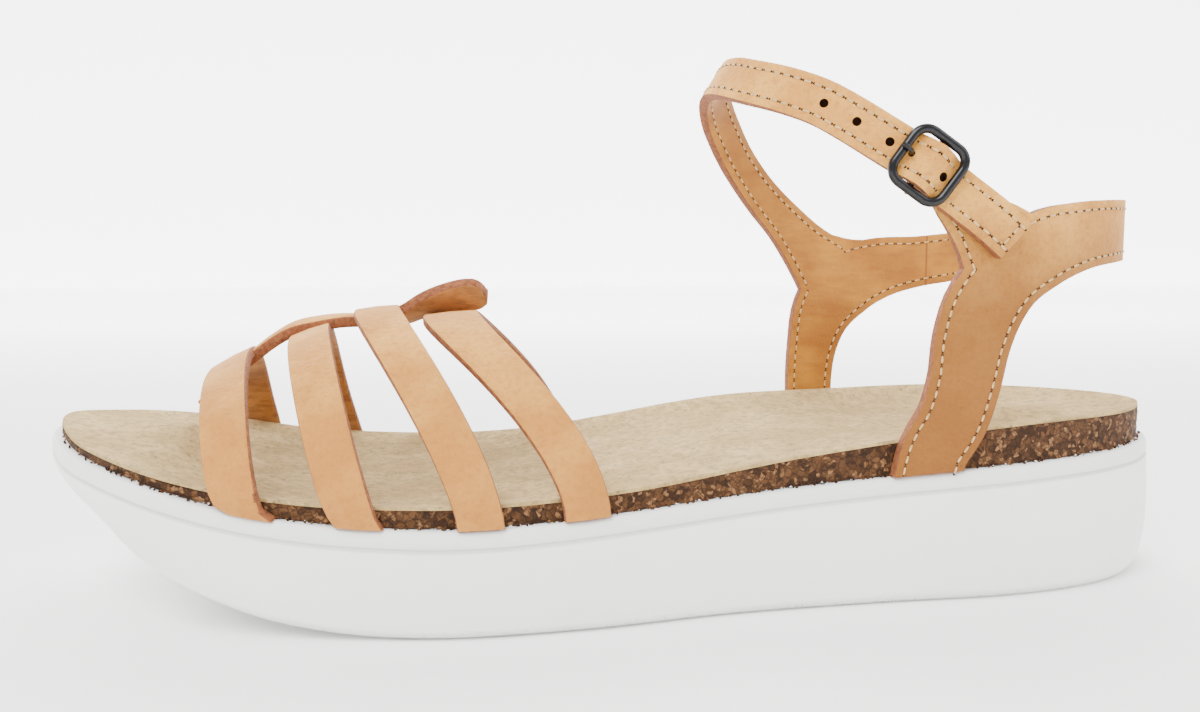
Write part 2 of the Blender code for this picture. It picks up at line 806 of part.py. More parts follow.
def arm_level(past, share):
    """The arm is skived under the strap; share runs from -0.5 inside to 0.5 outside its wall."""
    top = strap_lift(past) - QUARTER_WALL / 2 - GAP
    thin = float(ease((past - BUCKLE_HALF) / SKIVED_RUN))
    wall = LOOP_WALL + (QUARTER_WALL - LOOP_WALL) * thin
    return top - wall * (0.5 - share)


def at_buckle(past, across, level):
    """A point given from the buckle's bar: along the strap, across it and out."""
    centre, ahead = buckle_axis()
    here = wrapped(centre.x, centre.y, 0.0)
    step = ahead * 0.002
    along = (wrapped(*(centre + step), 0.0) - wrapped(*(centre - step), 0.0)).normalized()
    out = wrapped(centre.x, centre.y, 0.001) - here
    out = (out - along * out.dot(along)).normalized()
    return here + along * past + out.cross(along) * across + out * level


def wire(points, thick, closed=False, resolution=2):
    """A round wire along points."""
    curve = bpy.data.curves.new("wire", "CURVE")
    curve.dimensions = "3D"
    curve.bevel_depth = thick / 2
    curve.bevel_resolution = resolution
    curve.use_fill_caps = True
    spline = curve.splines.new("POLY")
    spline.points.add(len(points) - 1)
    for point, place in zip(spline.points, points):
        point.co = (*place, 1.0)
    spline.use_cyclic_u = closed
    holder = bpy.data.objects.new("wire", curve)
    mesh = bpy.data.meshes.new_from_object(holder)
    bm = bmesh.new()
    bm.from_mesh(mesh)
    bpy.data.objects.remove(holder)
    bmesh.ops.remove_doubles(bm, verts=bm.verts, dist=0.00001)
    bmesh.ops.recalc_face_normals(bm, faces=bm.faces)
    return bm


def prong_route():
    """The prong's ring round the bar, then under the strap, up through its hole and over the frame."""
    route = []
    for step in range(9):
        turn = math.radians(-130 + 27.5 * step)
        route.append((RING_RADIUS * math.cos(turn), BAR_LEVEL + RING_RADIUS * math.sin(turn)))
    under = strap_level(PRONG_HOLE / 2) - QUARTER_WALL / 2 - GAP - PRONG_WIRE / 2
    over = BUCKLE_WIRE / 2 + GAP + PRONG_WIRE / 2
    route.append((PRONG_HOLE / 2, under))
    route.append((PRONG_HOLE * 0.85, FRAME_LEVEL * 0.3))
    for degrees in (0, 45, 90, 125):
        turn = math.radians(degrees)
        route.append((over * math.cos(turn) - BUCKLE_HALF, FRAME_LEVEL + over * math.sin(turn)))
    return [at_buckle(past, 0.0, level) for past, level in route]


def quarter_lateral(finish, parent, slot):
    """The outer leg, its arm with a loop round the buckle's bar, and the band behind the heel."""
    centre, ahead = buckle_axis()
    centre = centre - Vector((GIRTH, 0.0))
    loop = LOOP_RADIUS * LOOP_TURN
    arm, tongue = pattern(OUTER_ARM), []
    for past in (0.8 * BUCKLE_HALF, 0.5 * BUCKLE_HALF):
        arm.append((*(centre + ahead * past), LOOP_WIDTH))
    for past in (0.6 * BUCKLE_HALF, 0.0, -loop):
        tongue.append((*(centre + ahead * past), LOOP_WIDTH))
    extra = []
    for i in range(1, 8):
        for across in (-0.25, 0.0, 0.25):
            side = Vector((-ahead.y, ahead.x)) * (across * LOOP_WIDTH)
            extra.append(centre + ahead * (loop * (0.1 - i / 8)) + side)
    bm = flat_pattern([ribbon(pattern(OUTER_LEG), square=True), ribbon(arm), ribbon(tongue, LOOP_WALL * 1.5)], extra)
    for vert in bm.verts:
        along, height, share = vert.co
        past, across = past_buckle(along, height)
        if along > 0 or abs(across) > SKIVED_WIDTH or past > BUCKLE_HALF + SKIVED_RUN:
            vert.co = wrapped(along, height, share * QUARTER_WALL)
        elif past >= 0:
            vert.co = wrapped(along, height, arm_level(past, share))
        else:
            turn = -past / LOOP_RADIUS
            reach = LOOP_RADIUS - share * LOOP_WALL
            vert.co = at_buckle(-reach * math.sin(turn), across, BAR_LEVEL - reach * math.cos(turn))
    bmesh.ops.recalc_face_normals(bm, faces=bm.faces)
    made = placed("quarter_lateral", bm, finish, parent)
    boolean(made, "DIFFERENCE", [slot])
    return made


def ankle_strap(finish, parent, slot):
    """The inner leg with its piece of the heel band, and the strap round the instep to the buckle."""
    leg = pattern(INNER_LEG)
    leg[-1] = (pattern(OUTER_LEG)[-1][0] + GAP, *leg[-1][1:])
    bm = flat_pattern([ribbon(leg, square=True), ribbon(STRAP_ROWS)])
    for vert in bm.verts:
        along, height, share = vert.co
        lift = strap_level(past_buckle(along, height)[0]) if along > GIRTH / 2 else 0.0
        vert.co = wrapped(along, height, share * QUARTER_WALL + lift)
    bmesh.ops.recalc_face_normals(bm, faces=bm.faces)
    made = placed("ankle_strap", bm, finish, parent)
    boolean(made, "DIFFERENCE", [slot, strap_holes(parent)])
    return made


def strap_holes(parent):
    """The punched holes: three ahead of the one that the prong is in and one past it."""
    bm = bmesh.new()
    centre, ahead = buckle_axis()
    for past in [PRONG_HOLE + HOLE_PITCH] + [PRONG_HOLE - HOLE_LEAD - HOLE_PITCH * i for i in range(3)]:
        along = centre.x + ahead.x * past
        height = float(smooth(STRAP_ROWS, 1, along))
        inner = wrapped(along, height, strap_level(past) - QUARTER_WALL)
        outer = wrapped(along, height, strap_level(past) + QUARTER_WALL)
        axis = outer - inner
        turn = axis.to_track_quat("Z", "Y").to_matrix().to_4x4()
        bmesh.ops.create_cone(
            bm,
            cap_ends=True,
            segments=12,
            radius1=HOLE_WIDTH / 2,
            radius2=HOLE_WIDTH / 2,
            depth=axis.length,
            matrix=Matrix.Translation((inner + outer) / 2) @ turn,
        )
    return helper("strap_holes", bm, parent)


def buckle_frame(finish, parent):
    """A rounded square of wire with a bar that hangs from its sides below the strap."""
    corner = BUCKLE_CORNER - BUCKLE_WIRE / 2
    points = []
    for quarter, (way_along, way_across) in enumerate(((1, 1), (-1, 1), (-1, -1), (1, -1))):
        for step in range(5):
            turn = math.radians(90 * quarter + 22.5 * step)
            past = way_along * (BUCKLE_HALF - corner) + corner * math.cos(turn)
            across = way_across * (BUCKLE_SIDE - corner) + corner * math.sin(turn)
            points.append(at_buckle(past, across, FRAME_LEVEL))
    frame = placed("buckle_frame", wire(points, BUCKLE_WIRE, closed=True), finish, parent)
    drop = (FRAME_LEVEL - BAR_LEVEL) * 0.3
    bar = []
    for way in (-1, 1):
        post = [
            (way * BUCKLE_SIDE, FRAME_LEVEL),
            (way * BUCKLE_SIDE, BAR_LEVEL + drop),
            (way * (BUCKLE_SIDE - drop), BAR_LEVEL),
        ]
        bar += post if way < 0 else post[::-1]
    route = [at_buckle(0.0, across, level) for across, level in bar]
    boolean(frame, "UNION", [helper("buckle_bar", wire(route, BAR_WIRE), parent)])
    return frame


def clear_scene():
    for old in list(bpy.data.objects):
        bpy.data.objects.remove(old, do_unlink=True)


def main():
    clear_scene()
    parent = bpy.data.objects.new("sandal", None)
    bpy.context.scene.collection.objects.link(parent)
    nubuck = material("nubuck", LEATHER, 0.75)
    gunmetal = material("gunmetal", GUNMETAL, 0.2, 1.0)
    platform = sole(material("white foam rubber", WHITE, 0.55), parent)
    places = np.array([vert.co for vert in platform.data.vertices])
    middle_x, middle_y, _ = (places.min(0) + places.max(0)) / 2
    parent.location = (-middle_x, -middle_y, 0.0)
    cork_footbed(material("cork", CORK, 0.9), parent)
    insole(material("suede", SUEDE, 0.95), parent)
    vamp(nubuck, parent)
    slot = helper("prong_slot", wire(prong_route(), PRONG_WIRE + 1.6 * GAP), parent)
    quarter_lateral(nubuck, parent, slot)
    ankle_strap(nubuck, parent, slot)
    buckle_frame(gunmetal, parent)
    placed("buckle_prong", wire(prong_route(), PRONG_WIRE), gunmetal, parent)


main()
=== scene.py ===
"""The cork footbed sandal's looks, built round its CAD frame.

Metres, +Z up. The toe points to -X, the outer side is -Y. The form functions follow the sandal's own
sizes; a station is a share of the footbed's length, 0 at the heel end and 1 at the toe tip.
"""

import itertools
import math
import random

import bmesh
import bpy
import numpy as np
from mathutils import Matrix, Vector
from mathutils.geometry import delaunay_2d_cdt


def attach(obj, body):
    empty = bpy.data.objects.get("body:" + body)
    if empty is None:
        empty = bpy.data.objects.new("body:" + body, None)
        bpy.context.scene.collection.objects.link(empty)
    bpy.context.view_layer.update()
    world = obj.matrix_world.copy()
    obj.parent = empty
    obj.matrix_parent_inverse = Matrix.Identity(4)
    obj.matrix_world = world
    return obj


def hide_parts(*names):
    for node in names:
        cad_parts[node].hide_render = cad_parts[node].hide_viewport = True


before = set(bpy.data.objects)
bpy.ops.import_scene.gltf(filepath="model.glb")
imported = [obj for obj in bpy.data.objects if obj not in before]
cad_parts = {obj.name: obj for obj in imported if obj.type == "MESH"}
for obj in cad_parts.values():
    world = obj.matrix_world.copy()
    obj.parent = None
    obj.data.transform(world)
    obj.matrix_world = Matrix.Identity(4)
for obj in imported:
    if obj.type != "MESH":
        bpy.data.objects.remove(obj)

bl_info = {
    "name": "Cork footbed sandal",
    "version": (1, 0, 0),
    "blender": (4, 5, 0),
    "location": "View3D > Sidebar > Sandal",
    "description": "Builds the looks of a cork footbed sandal",
    "category": "Object",
}

# Footbed and sole
FOOTBED_LENGTH = 0.256
BALL_WIDTH = 0.084
HEEL_RIM = 0.0391
CORK_SIDE = 0.009
ARCH_RISE = 0.0049
ARCH_STATION = 0.42
ARCH_SPREAD = 0.16
DISH_DEPTH = 0.0048
BED_HOLLOW = 0.0022
HOLLOW_REACH, HOLLOW_FADE = 0.85, 0.45
INSOLE_WALL = 0.0012
INSOLE_EDGE = 0.0007
INSOLE_TRIM = 0.12
SPINE_END = 0.42
SOLE_FLARE = 0.0024
SHOULDER_BAND = 0.0036
SHOULDER_GROOVE = 0.0005
TOE_SPRING = 0.0183
TOE_UNDERCUT = 0.0097
UNDERCUT_FROM = 0.78
HEEL_BEVEL = 0.0042
HEEL_BEVEL_END = 0.07
TREAD_DEPTH = 0.0012
TREAD_GROOVE = 0.0022
TREAD_PITCH = 0.0088
TREAD_MARGIN = 0.008
TREAD_FIRST, TREAD_LAST = 0.07, 0.93
WAIST_FIRST, WAIST_LAST = 0.36, 0.46

# Leather
STRAP_WIDTH = 0.0092
STRAP_WALL = 0.0022
STRAP_SQUARENESS = 2.25
CROWN_SHARPNESS = 6
STRIP_WIDTH = 0.0092
STRIP_WALL = 0.0026
STRIP_ACROSS = 0.0045
INSTEP_HEIGHT = 0.0612
QUARTER_WALL = 0.0024
ANKLE_STRAP_WIDTH = 0.0096
HOLE_WIDTH = 0.0019
HOLE_PITCH = 0.0081
HOLE_LEAD = 0.0049

# The ankle that the quarters wrap, an upright rounded form
ANKLE_LENGTH = 0.0945
ANKLE_WIDTH = 0.066
ANKLE_BACK = 0.118
ANKLE_HEIGHT = 0.114
ANKLE_SQUARENESS = 2.3
ANKLE_SETTLE = 0.03
INSTEP_LEAN = 0.56
INSTEP_REACH = 0.006
INSTEP_TURN = 2.2
LEG_FOOT = 0.0286

# Buckle
BUCKLE_AT = 0.0759
BUCKLE_WIRE = 0.002
BUCKLE_WINDOW = 0.0104
BUCKLE_CORNER = 0.0042
BAR_WIRE = 0.0014
BAR_BEND = 0.3
PRONG_WIRE = 0.001
PRONG_RING_START, PRONG_RING_STEP, PRONG_RING_STEPS = -130, 27.5, 9
PRONG_OVER = (0, 45, 90, 125)
LOOP_WALL = 0.0008
LOOP_WIDTH = 0.0084
LOOP_TURN = 4.2
ARM_END = (0.8, 0.5)
TONGUE_START = 0.6
SKIVED_RUN = 0.0145
SKIVED_WIDTH = 0.0135

# Clearance between pieces that touch, and how finely round forms are cut
GAP = 0.0003
OUTLINE_STEPS = 72
PATTERN_STEP = 0.0024
PATTERN_ROW = 0.87 * PATTERN_STEP
PATTERN_CLEAR = 0.55 * PATTERN_STEP
PATTERN_WELD = 0.0004
CUT_EASED = 0.09
WIRE_WELD = 0.00001
LATERAL, MEDIAL = -1, 1

OUTLINE = (
    # station, half width and centre line as shares of the ball width
    (0.00, 0.000, 0.002),
    (0.02, 0.154, 0.004),
    (0.05, 0.245, 0.004),
    (0.10, 0.325, 0.007),
    (0.18, 0.385, 0.011),
    (0.30, 0.389, -0.006),
    (0.42, 0.388, -0.043),
    (0.55, 0.443, -0.062),
    (0.65, 0.490, -0.036),
    (0.72, 0.500, -0.004),
    (0.80, 0.480, 0.020),
    (0.88, 0.423, 0.032),
    (0.94, 0.308, 0.068),
    (0.98, 0.157, 0.114),
    (1.00, 0.000, 0.165),
)

LEVELS = (
    # station, rim height as a share of the heel rim, cork side and dish as shares of their sizes
    (0.00, 1.000, 0.87, 0.50),
    (0.15, 0.982, 1.00, 1.00),
    (0.35, 0.849, 0.76, 0.35),
    (0.50, 0.716, 0.52, 0.30),
    (0.65, 0.665, 0.50, 0.40),
    (0.80, 0.714, 0.39, 0.50),
    (0.92, 0.867, 0.27, 0.42),
    (1.00, 0.949, 0.30, 0.40),
)

UNDERSIDE = (
    # station, height as a share of the toe spring
    (0.66, 0.00),
    (0.72, 0.04),
    (0.78, 0.17),
    (0.88, 0.58),
    (1.00, 1.00),
)

DISH = (
    # reach from the middle line to the edge, height as a share of the rim above the middle
    (0.00, 0.00),
    (0.45, 0.05),
    (0.70, 0.22),
    (0.86, 0.55),
    (0.95, 0.86),
    (1.00, 1.00),
)

SOLE_SIDE = (
    # share of the wall's height from the tread to the shoulder groove, outset as a share of the flare
    (0.00, -0.10),
    (0.06, 0.62),
    (0.18, 0.95),
    (0.45, 1.14),
    (0.75, 1.08),
    (0.97, 0.96),
)

STRAPS = (
    # outer station, inner station, lean to the toe as a share of the ball width, how late it leans,
    # crown height as a share of the instep, crown tilt, width at the crown as a share of the strap's
    (0.793, 0.840, 0.0714, 0.35, 0.8170, 28.0, 1.10),
    (0.713, 0.762, 0.1071, 0.70, 0.9183, 19.0, 1.02),
    (0.624, 0.665, 0.2143, 1.40, 1.0000, 6.0, 1.10),
    (0.544, 0.552, 0.3119, 1.70, 0.9804, 5.0, 1.35),
)

STRIP = (
    # station, height as a share of the instep, roll in degrees
    (0.8691, 0.6601, -4.0),
    (0.8574, 0.7124, 0.0),
    (0.8418, 0.7778, -3.0),
    (0.8262, 0.8301, -6.0),
    (0.8105, 0.8840, -7.0),
    (0.7930, 0.9281, -7.0),
    (0.7695, 0.9526, -6.0),
    (0.7461, 0.9641, -3.0),
    (0.7266, 0.9641, 1.0),
    (0.7090, 0.9706, 8.0),
    (0.6914, 0.9853, 19.0),
    (0.6738, 1.0196, 30.0),
    (0.6543, 1.0441, 40.0),
    (0.6348, 1.0588, 43.0),
    (0.6172, 1.0490, 43.0),
)

# The flat pattern of the quarters. Along is the distance round the ankle from the middle of the heel
# to the inner side as a share of the girth, height runs from the leg's foot at 0 to the strap's
# highest place at 1, and width is a share of the ankle strap's.
OUTER_LEG = (
    # along, height, width
    (-0.2859, 0.000, 1.583),
    (-0.2806, 0.052, 1.583),
    (-0.2660, 0.122, 1.604),
    (-0.2552, 0.222, 1.625),
    (-0.2491, 0.321, 1.729),
    (-0.2395, 0.403, 1.792),
    (-0.2188, 0.485, 1.729),
    (-0.1881, 0.546, 1.729),
    (-0.1497, 0.578, 1.521),
    (-0.0960, 0.594, 1.427),
    (0.0000, 0.594, 1.396),
    (0.0691, 0.574, 1.375),
    (0.1190, 0.546, 1.365),
    (0.1535, 0.529, 1.354),
)

OUTER_ARM = (
    # along, height, width
    (-0.2149, 0.508, 2.292),
    (-0.2322, 0.567, 1.875),
    (-0.2495, 0.623, 1.302),
    (-0.2641, 0.671, 1.042),
)

INNER_LEG = (
    # along, height, width
    (0.3001, 0.000, 1.313),
    (0.3009, 0.069, 1.313),
    (0.3013, 0.145, 1.333),
    (0.2986, 0.251, 1.458),
    (0.2894, 0.356, 1.792),
    (0.2668, 0.443, 2.000),
    (0.2303, 0.492, 1.729),
    (0.1919, 0.512, 1.438),
    (0.1574, 0.528, 1.354),
)

INNER_STRAP = (
    # along, height, width
    (0.2648, 0.415, 2.344),
    (0.2898, 0.494, 1.875),
    (0.3128, 0.564, 1.406),
    (0.3339, 0.630, 1.146),
    (0.3608, 0.704, 1.021),
    (0.3938, 0.802, 0.938),
    (0.4272, 0.902, 0.917),
    (0.4625, 0.975, 0.927),
    (0.4990, 1.000, 0.958),
    (0.5337, 0.991, 1.000),
    (0.5667, 0.965, 1.000),
    (0.5974, 0.937, 1.000),
    (0.6281, 0.899, 1.000),
    (0.6488, 0.862, 1.000),
    (0.6699, 0.821, 1.000),
    (0.7087, 0.744, 1.000),
    (0.7394, 0.670, 1.000),
    (0.7601, 0.615, 1.000),
    (0.7785, 0.564, 1.000),
)


def smooth(rows, column, at):
    """One column of a table as a smooth curve through its rows, read where the first column is at."""
    table = np.array([[row[0], row[column]] for row in rows], float)
    xs, ys = table[:, 0], table[:, 1]
    if xs[0] > xs[-1]:
        xs, ys = xs[::-1], ys[::-1]
    slopes = np.gradient(ys, xs)
    at = np.clip(at, xs[0], xs[-1])
    i = np.clip(np.searchsorted(xs, at) - 1, 0, len(xs) - 2)
    step = xs[i + 1] - xs[i]
    u = (at - xs[i]) / step
    start, end = ys[i], ys[i + 1]
    rise, fall = slopes[i] * step, slopes[i + 1] * step
    cubic = 2 * start - 2 * end + rise + fall
    square = -3 * start + 3 * end - 2 * rise - fall
    return ((cubic * u + square) * u + rise) * u + start


def ease(share):
    """0 to 1 with level ends."""
    share = np.clip(share, 0.0, 1.0)
    return share * share * (3 - 2 * share)


def turn_of(station):
    """A station as an angle, which keeps the round ends of the outline round."""
    return np.arccos(np.clip(1 - 2 * np.asarray(station, float), -1.0, 1.0))


OUTLINE_BY_TURN = tuple((float(turn_of(row[0])), row[1], row[2]) for row in OUTLINE)


def station_x(station):
    return (0.5 - station) * FOOTBED_LENGTH


def edge(side, station):
    """The footbed's edge across from its middle line, on the given side."""
    half = smooth(OUTLINE_BY_TURN, 1, turn_of(station))
    centre = smooth(OUTLINE_BY_TURN, 2, turn_of(station))
    return BALL_WIDTH * (centre + side * np.maximum(half, 0.0))


def middle(station):
    return BALL_WIDTH * smooth(OUTLINE_BY_TURN, 2, turn_of(station))


def rim(side, station):
    """Height of the footbed's rim. The inner side rises at the arch."""
    bump = ARCH_RISE * np.exp(-(((station - ARCH_STATION) / ARCH_SPREAD) ** 2))
    return HEEL_RIM * smooth(LEVELS, 1, station) + (bump if side == MEDIAL else 0.0)


def sole_top(station):
    return rim(LATERAL, station) - CORK_SIDE * smooth(LEVELS, 2, station)


def underside(station):
    """Height of the tread: flat under heel and ball, rising at the toe, bevelled at the heel."""
    toe = TOE_SPRING * smooth(UNDERSIDE, 1, station)
    heel = HEEL_BEVEL * ease(1 - station / HEEL_BEVEL_END) ** 1.5
    return np.where(station > UNDERSIDE[0][0], toe, 0.0) + heel


def bed(station, reach):
    """The sole's top, which is hollowed under the middle of the footbed."""
    return sole_top(station) - BED_HOLLOW * float(ease((HOLLOW_REACH - reach) / HOLLOW_FADE))


def outward(side, station):
    """The level direction that points out of the outline."""
    step = 0.004
    low, high = max(station - step, 0.001), min(station + step, 0.999)
    run = station_x(high) - station_x(low)
    rise = edge(side, high) - edge(side, low)
    away = Vector((rise, -run, 0.0))
    away.normalize()
    return away if away.y * side > 0 else -away


def ring_stations():
    """Stations of the closed outline: heel, outer side, toe, inner side."""
    turns = [math.pi * i / OUTLINE_STEPS for i in range(OUTLINE_STEPS + 1)]
    stations = [(1 - math.cos(turn)) / 2 for turn in turns]
    around = [(LATERAL, station) for station in stations]
    around += [(MEDIAL, station) for station in reversed(stations[1:-1])]
    return around


def outline_ring(outset, reach):
    """The outline as (x, y) pairs, set out level by outset and drawn in to the middle by reach."""
    points = np.array([(station_x(s), edge(side, s)) for side, s in ring_stations()])
    before, after = np.roll(points, 1, 0), np.roll(points, -1, 0)
    run = after - before
    away = np.stack([run[:, 1], -run[:, 0]], 1)
    away /= np.linalg.norm(away, axis=1)[:, None]
    if np.dot(away[0], (1, 0)) < 0:
        away = -away
    points = points + away * outset
    half = SPINE_END * BALL_WIDTH
    spine_x = np.clip(points[:, 0], -FOOTBED_LENGTH / 2 + half, FOOTBED_LENGTH / 2 - half)
    spine = np.stack([spine_x, middle(0.5 - spine_x / FOOTBED_LENGTH)], 1)
    return spine + (points - spine) * reach


def undercut(station):
    """How far back the tread starts under the toe."""
    return TOE_UNDERCUT * ease((station - UNDERCUT_FROM) / (1 - UNDERCUT_FROM))


def ring(level, outset=0.0, reach=1.0, forward=0.0):
    """A closed ring of points: level gives the height, forward the share of the undercut."""
    flat = outline_ring(outset, reach)
    found = []
    for (side, station), (x, y) in zip(ring_stations(), flat):
        found.append(Vector((x + forward * undercut(station), y, level(side, station))))
    return found


def extruded(bm, border, points):
    """Extrudes a closed border of vertices once and puts the new ones at points, in order."""
    edges = []
    for here, there in zip(border, border[1:] + border[:1]):
        edges.append(bm.edges.get((here, there)))
    made = bmesh.ops.extrude_edge_only(bm, edges=edges)["geom"]
    new = {v for v in made if isinstance(v, bmesh.types.BMVert)}
    ordered = []
    for old in border:
        risen = next(e.other_vert(old) for e in old.link_edges if e.other_vert(old) in new)
        ordered.append(risen)
    for vert, point in zip(ordered, points):
        vert.co = point
    return ordered


def closed_border(bm, points):
    verts = [bm.verts.new(p) for p in points]
    for here, there in zip(verts, verts[1:] + verts[:1]):
        bm.edges.new((here, there))
    return verts


def lofted(rings, cap):
    """A closed solid through rings of equal count, capped at both ends."""
    bm = bmesh.new()
    border = closed_border(bm, rings[0])
    cap(bm, border)
    for points in rings[1:]:
        border = extruded(bm, border, points)
    cap(bm, border)
    bmesh.ops.recalc_face_normals(bm, faces=bm.faces)
    return bm


def foot_cap(bm, border):
    """Closes a foot-shaped ring with strips from its outer to its inner side."""
    count = len(border)
    for i in range(count // 2):
        corners = [border[i], border[i + 1], border[-i - 1], border[-i]]
        distinct = list(dict.fromkeys(corners))
        bm.faces.new(distinct)


def flat_cap(bm, border):
    bm.faces.new(border)


def dished(lower):
    """Height of the footbed's top at a reach from the middle line, lowered by lower."""

    def level(side, station, reach):
        around = (rim(LATERAL, station) + rim(MEDIAL, station)) / 2
        centre = around - DISH_DEPTH * smooth(LEVELS, 3, station)
        share = smooth(DISH, 1, reach)
        return centre + (rim(side, station) - centre) * share - lower(reach)

    return level


def dish_rings(lower, reaches, outset):
    level = dished(lower)
    rings = []
    for reach in reaches:
        rings.append(ring(lambda side, s, r=reach: level(side, s, r), outset, reach))
    return rings


def insole_depth(reach):
    """The suede is thin at its trimmed edge."""
    return INSOLE_EDGE + (INSOLE_WALL - INSOLE_EDGE) * ease((1 - reach) / INSOLE_TRIM)


DISH_REACHES = (0.12, 0.45, 0.70, 0.84, 0.93, 1.0)
BED_REACHES = (0.12, 0.40, 0.63, 0.85, 1.0)


def framed(points, across):
    """Adds to each point of a route the direction across the strip and the one out of it."""
    found = []
    for i, point in enumerate(points):
        ahead = points[min(i + 1, len(points) - 1)] - points[max(i - 1, 0)]
        ahead.normalize()
        side = across[i] - ahead * across[i].dot(ahead)
        side.normalize()
        inward = float(ease(min(i, len(points) - 1 - i) / (len(points) - 1) / CUT_EASED))
        found.append((point, across[i].lerp(side, inward).normalized(), side.cross(ahead)))
    return found


def cork_corner(side, station):
    """The lower edge of the footbed, over the sole."""
    return Vector((station_x(station), float(edge(side, station)), float(sole_top(station))))


def strap_foot(side, station, wall):
    """The middle of a wall's lower edge, beside the cork and just over the sole."""
    return cork_corner(side, station) + outward(side, station) * (GAP + wall / 2) + Vector((0, 0, GAP))


def strap_route(row, steps):
    """A strap over the foot, from the sole's outer ledge over its crown to the inner ledge."""
    outer_station, inner_station, lean, late, crown, tilt, widening = row
    start = strap_foot(LATERAL, outer_station, STRAP_WALL)
    end = strap_foot(MEDIAL, inner_station, STRAP_WALL)
    tangents = []
    for side, station in ((LATERAL, outer_station), (MEDIAL, inner_station)):
        along = cork_corner(side, station - 0.01) - cork_corner(side, station + 0.01)
        tangents.append(along.normalized())
    crown_across = Vector((math.cos(math.radians(tilt)), 0.0, math.sin(math.radians(tilt))))
    points, across = [], []
    for i in range(steps + 1):
        turn = math.pi * i / steps
        sweep = math.cos(turn)
        spread = math.copysign(abs(sweep) ** (2 / STRAP_SQUARENESS), sweep)
        rise = math.sin(turn) ** (2 / STRAP_SQUARENESS)
        share = (1 - sweep) / 2
        base = start.lerp(end, share)
        across_middle = (start.y + end.y) / 2 - spread * (end.y - start.y) / 2
        x = base.x - lean * BALL_WIDTH * rise**late
        z = base.z + (crown * INSTEP_HEIGHT - base.z) * rise
        points.append(Vector((x, across_middle, z)))
        side_across = tangents[0].lerp(tangents[1], share)
        across.append(side_across.lerp(crown_across, rise**2))
    widths = []
    for i in range(steps + 1):
        widening_here = (widening - 1) * math.sin(math.pi * i / steps) ** CROWN_SHARPNESS
        widths.append(STRAP_WIDTH * (1 + widening_here))
    return framed(points, across), widths


def strip_route(steps):
    """The strip along the foot, under and over the straps."""
    points, across = [], []
    first, last = STRIP[0][0], STRIP[-1][0]
    for i in range(steps + 1):
        station = first + (last - first) * i / steps
        height = INSTEP_HEIGHT * float(smooth(STRIP, 1, station))
        roll = math.radians(float(smooth(STRIP, 2, station)))
        points.append(Vector((station_x(station), STRIP_ACROSS, height)))
        across.append(Vector((0.0, -math.cos(roll), math.sin(roll))))
    return framed(points, across)


def ankle_plan():
    """The ankle form in plan: distance round it from the middle of the heel, and its points."""
    turns = np.linspace(-math.pi, math.pi, 721)
    power = 2 / ANKLE_SQUARENESS
    cos, sin = np.cos(turns), np.sin(turns)
    xs = ANKLE_BACK - ANKLE_LENGTH / 2 + ANKLE_LENGTH / 2 * np.sign(cos) * np.abs(cos) ** power
    ys = ANKLE_WIDTH / 2 * np.sign(sin) * np.abs(sin) ** power
    run = np.concatenate([[0.0], np.cumsum(np.hypot(np.diff(xs), np.diff(ys)))])
    return run - run[len(run) // 2], xs, ys


PLAN = ankle_plan()
GIRTH = float(PLAN[0][-1] - PLAN[0][0])


def pattern(rows):
    """A table of the flat pattern in metres."""
    rise = ANKLE_HEIGHT - LEG_FOOT
    found = []
    for along, height, width in rows:
        found.append((along * GIRTH, LEG_FOOT + height * rise, width * ANKLE_STRAP_WIDTH))
    return found


STRAP_ROWS = pattern(INNER_STRAP)


def ankle_point(along):
    run, xs, ys = PLAN
    along = (along - run[0]) % GIRTH + run[0]
    return Vector((float(np.interp(along, run, xs)), float(np.interp(along, run, ys)), 0.0))


def ankle_foot(along):
    """A place on the ankle form, its way out, and the side and station of the footbed's edge below it."""
    here = ankle_point(along)
    ahead = ankle_point(along + 0.001) - ankle_point(along - 0.001)
    away = Vector((ahead.y, -ahead.x, 0.0)).normalized()
    side = MEDIAL if here.y > 0 else LATERAL
    return here, away, side, 0.5 - here.x / FOOTBED_LENGTH


def wrapped(along, height, level):
    """A point of the flat pattern on the quarters, level out from the middle of their wall.

    The leather stands upright round the ankle, leans back over the instep, and below follows the
    footbed's edge down to the sole's ledge.
    """
    here, away, side, station = ankle_foot(along)
    if height < LEG_FOOT + 2 * ANKLE_SETTLE:
        corner, level_out = cork_corner(side, station), outward(side, station)
        share = float(ease((height - float(rim(side, station))) / ANKLE_SETTLE))
        foot = Vector((corner.x, corner.y, 0.0)) + level_out * (GAP + QUARTER_WALL / 2)
        here = foot.lerp(here, share)
        away = level_out.lerp(away, share).normalized()
        height += (corner.z + GAP - LEG_FOOT) * float(ease(1 - (height - LEG_FOOT) / ANKLE_SETTLE))
    pivot = float(smooth(STRAP_ROWS, 1, along % GIRTH))
    lean = INSTEP_LEAN * max(0.0, -away.x) ** INSTEP_TURN * float(ease((height - LEG_FOOT) / ANKLE_SETTLE))
    reach = min(max(height - pivot, -INSTEP_REACH), INSTEP_REACH)
    rise = height - reach * (1 - math.cos(lean))
    tilted = away * math.cos(lean) + Vector((0, 0, math.sin(lean)))
    return here - away * (reach * math.sin(lean)) + Vector((0, 0, rise)) + tilted * level


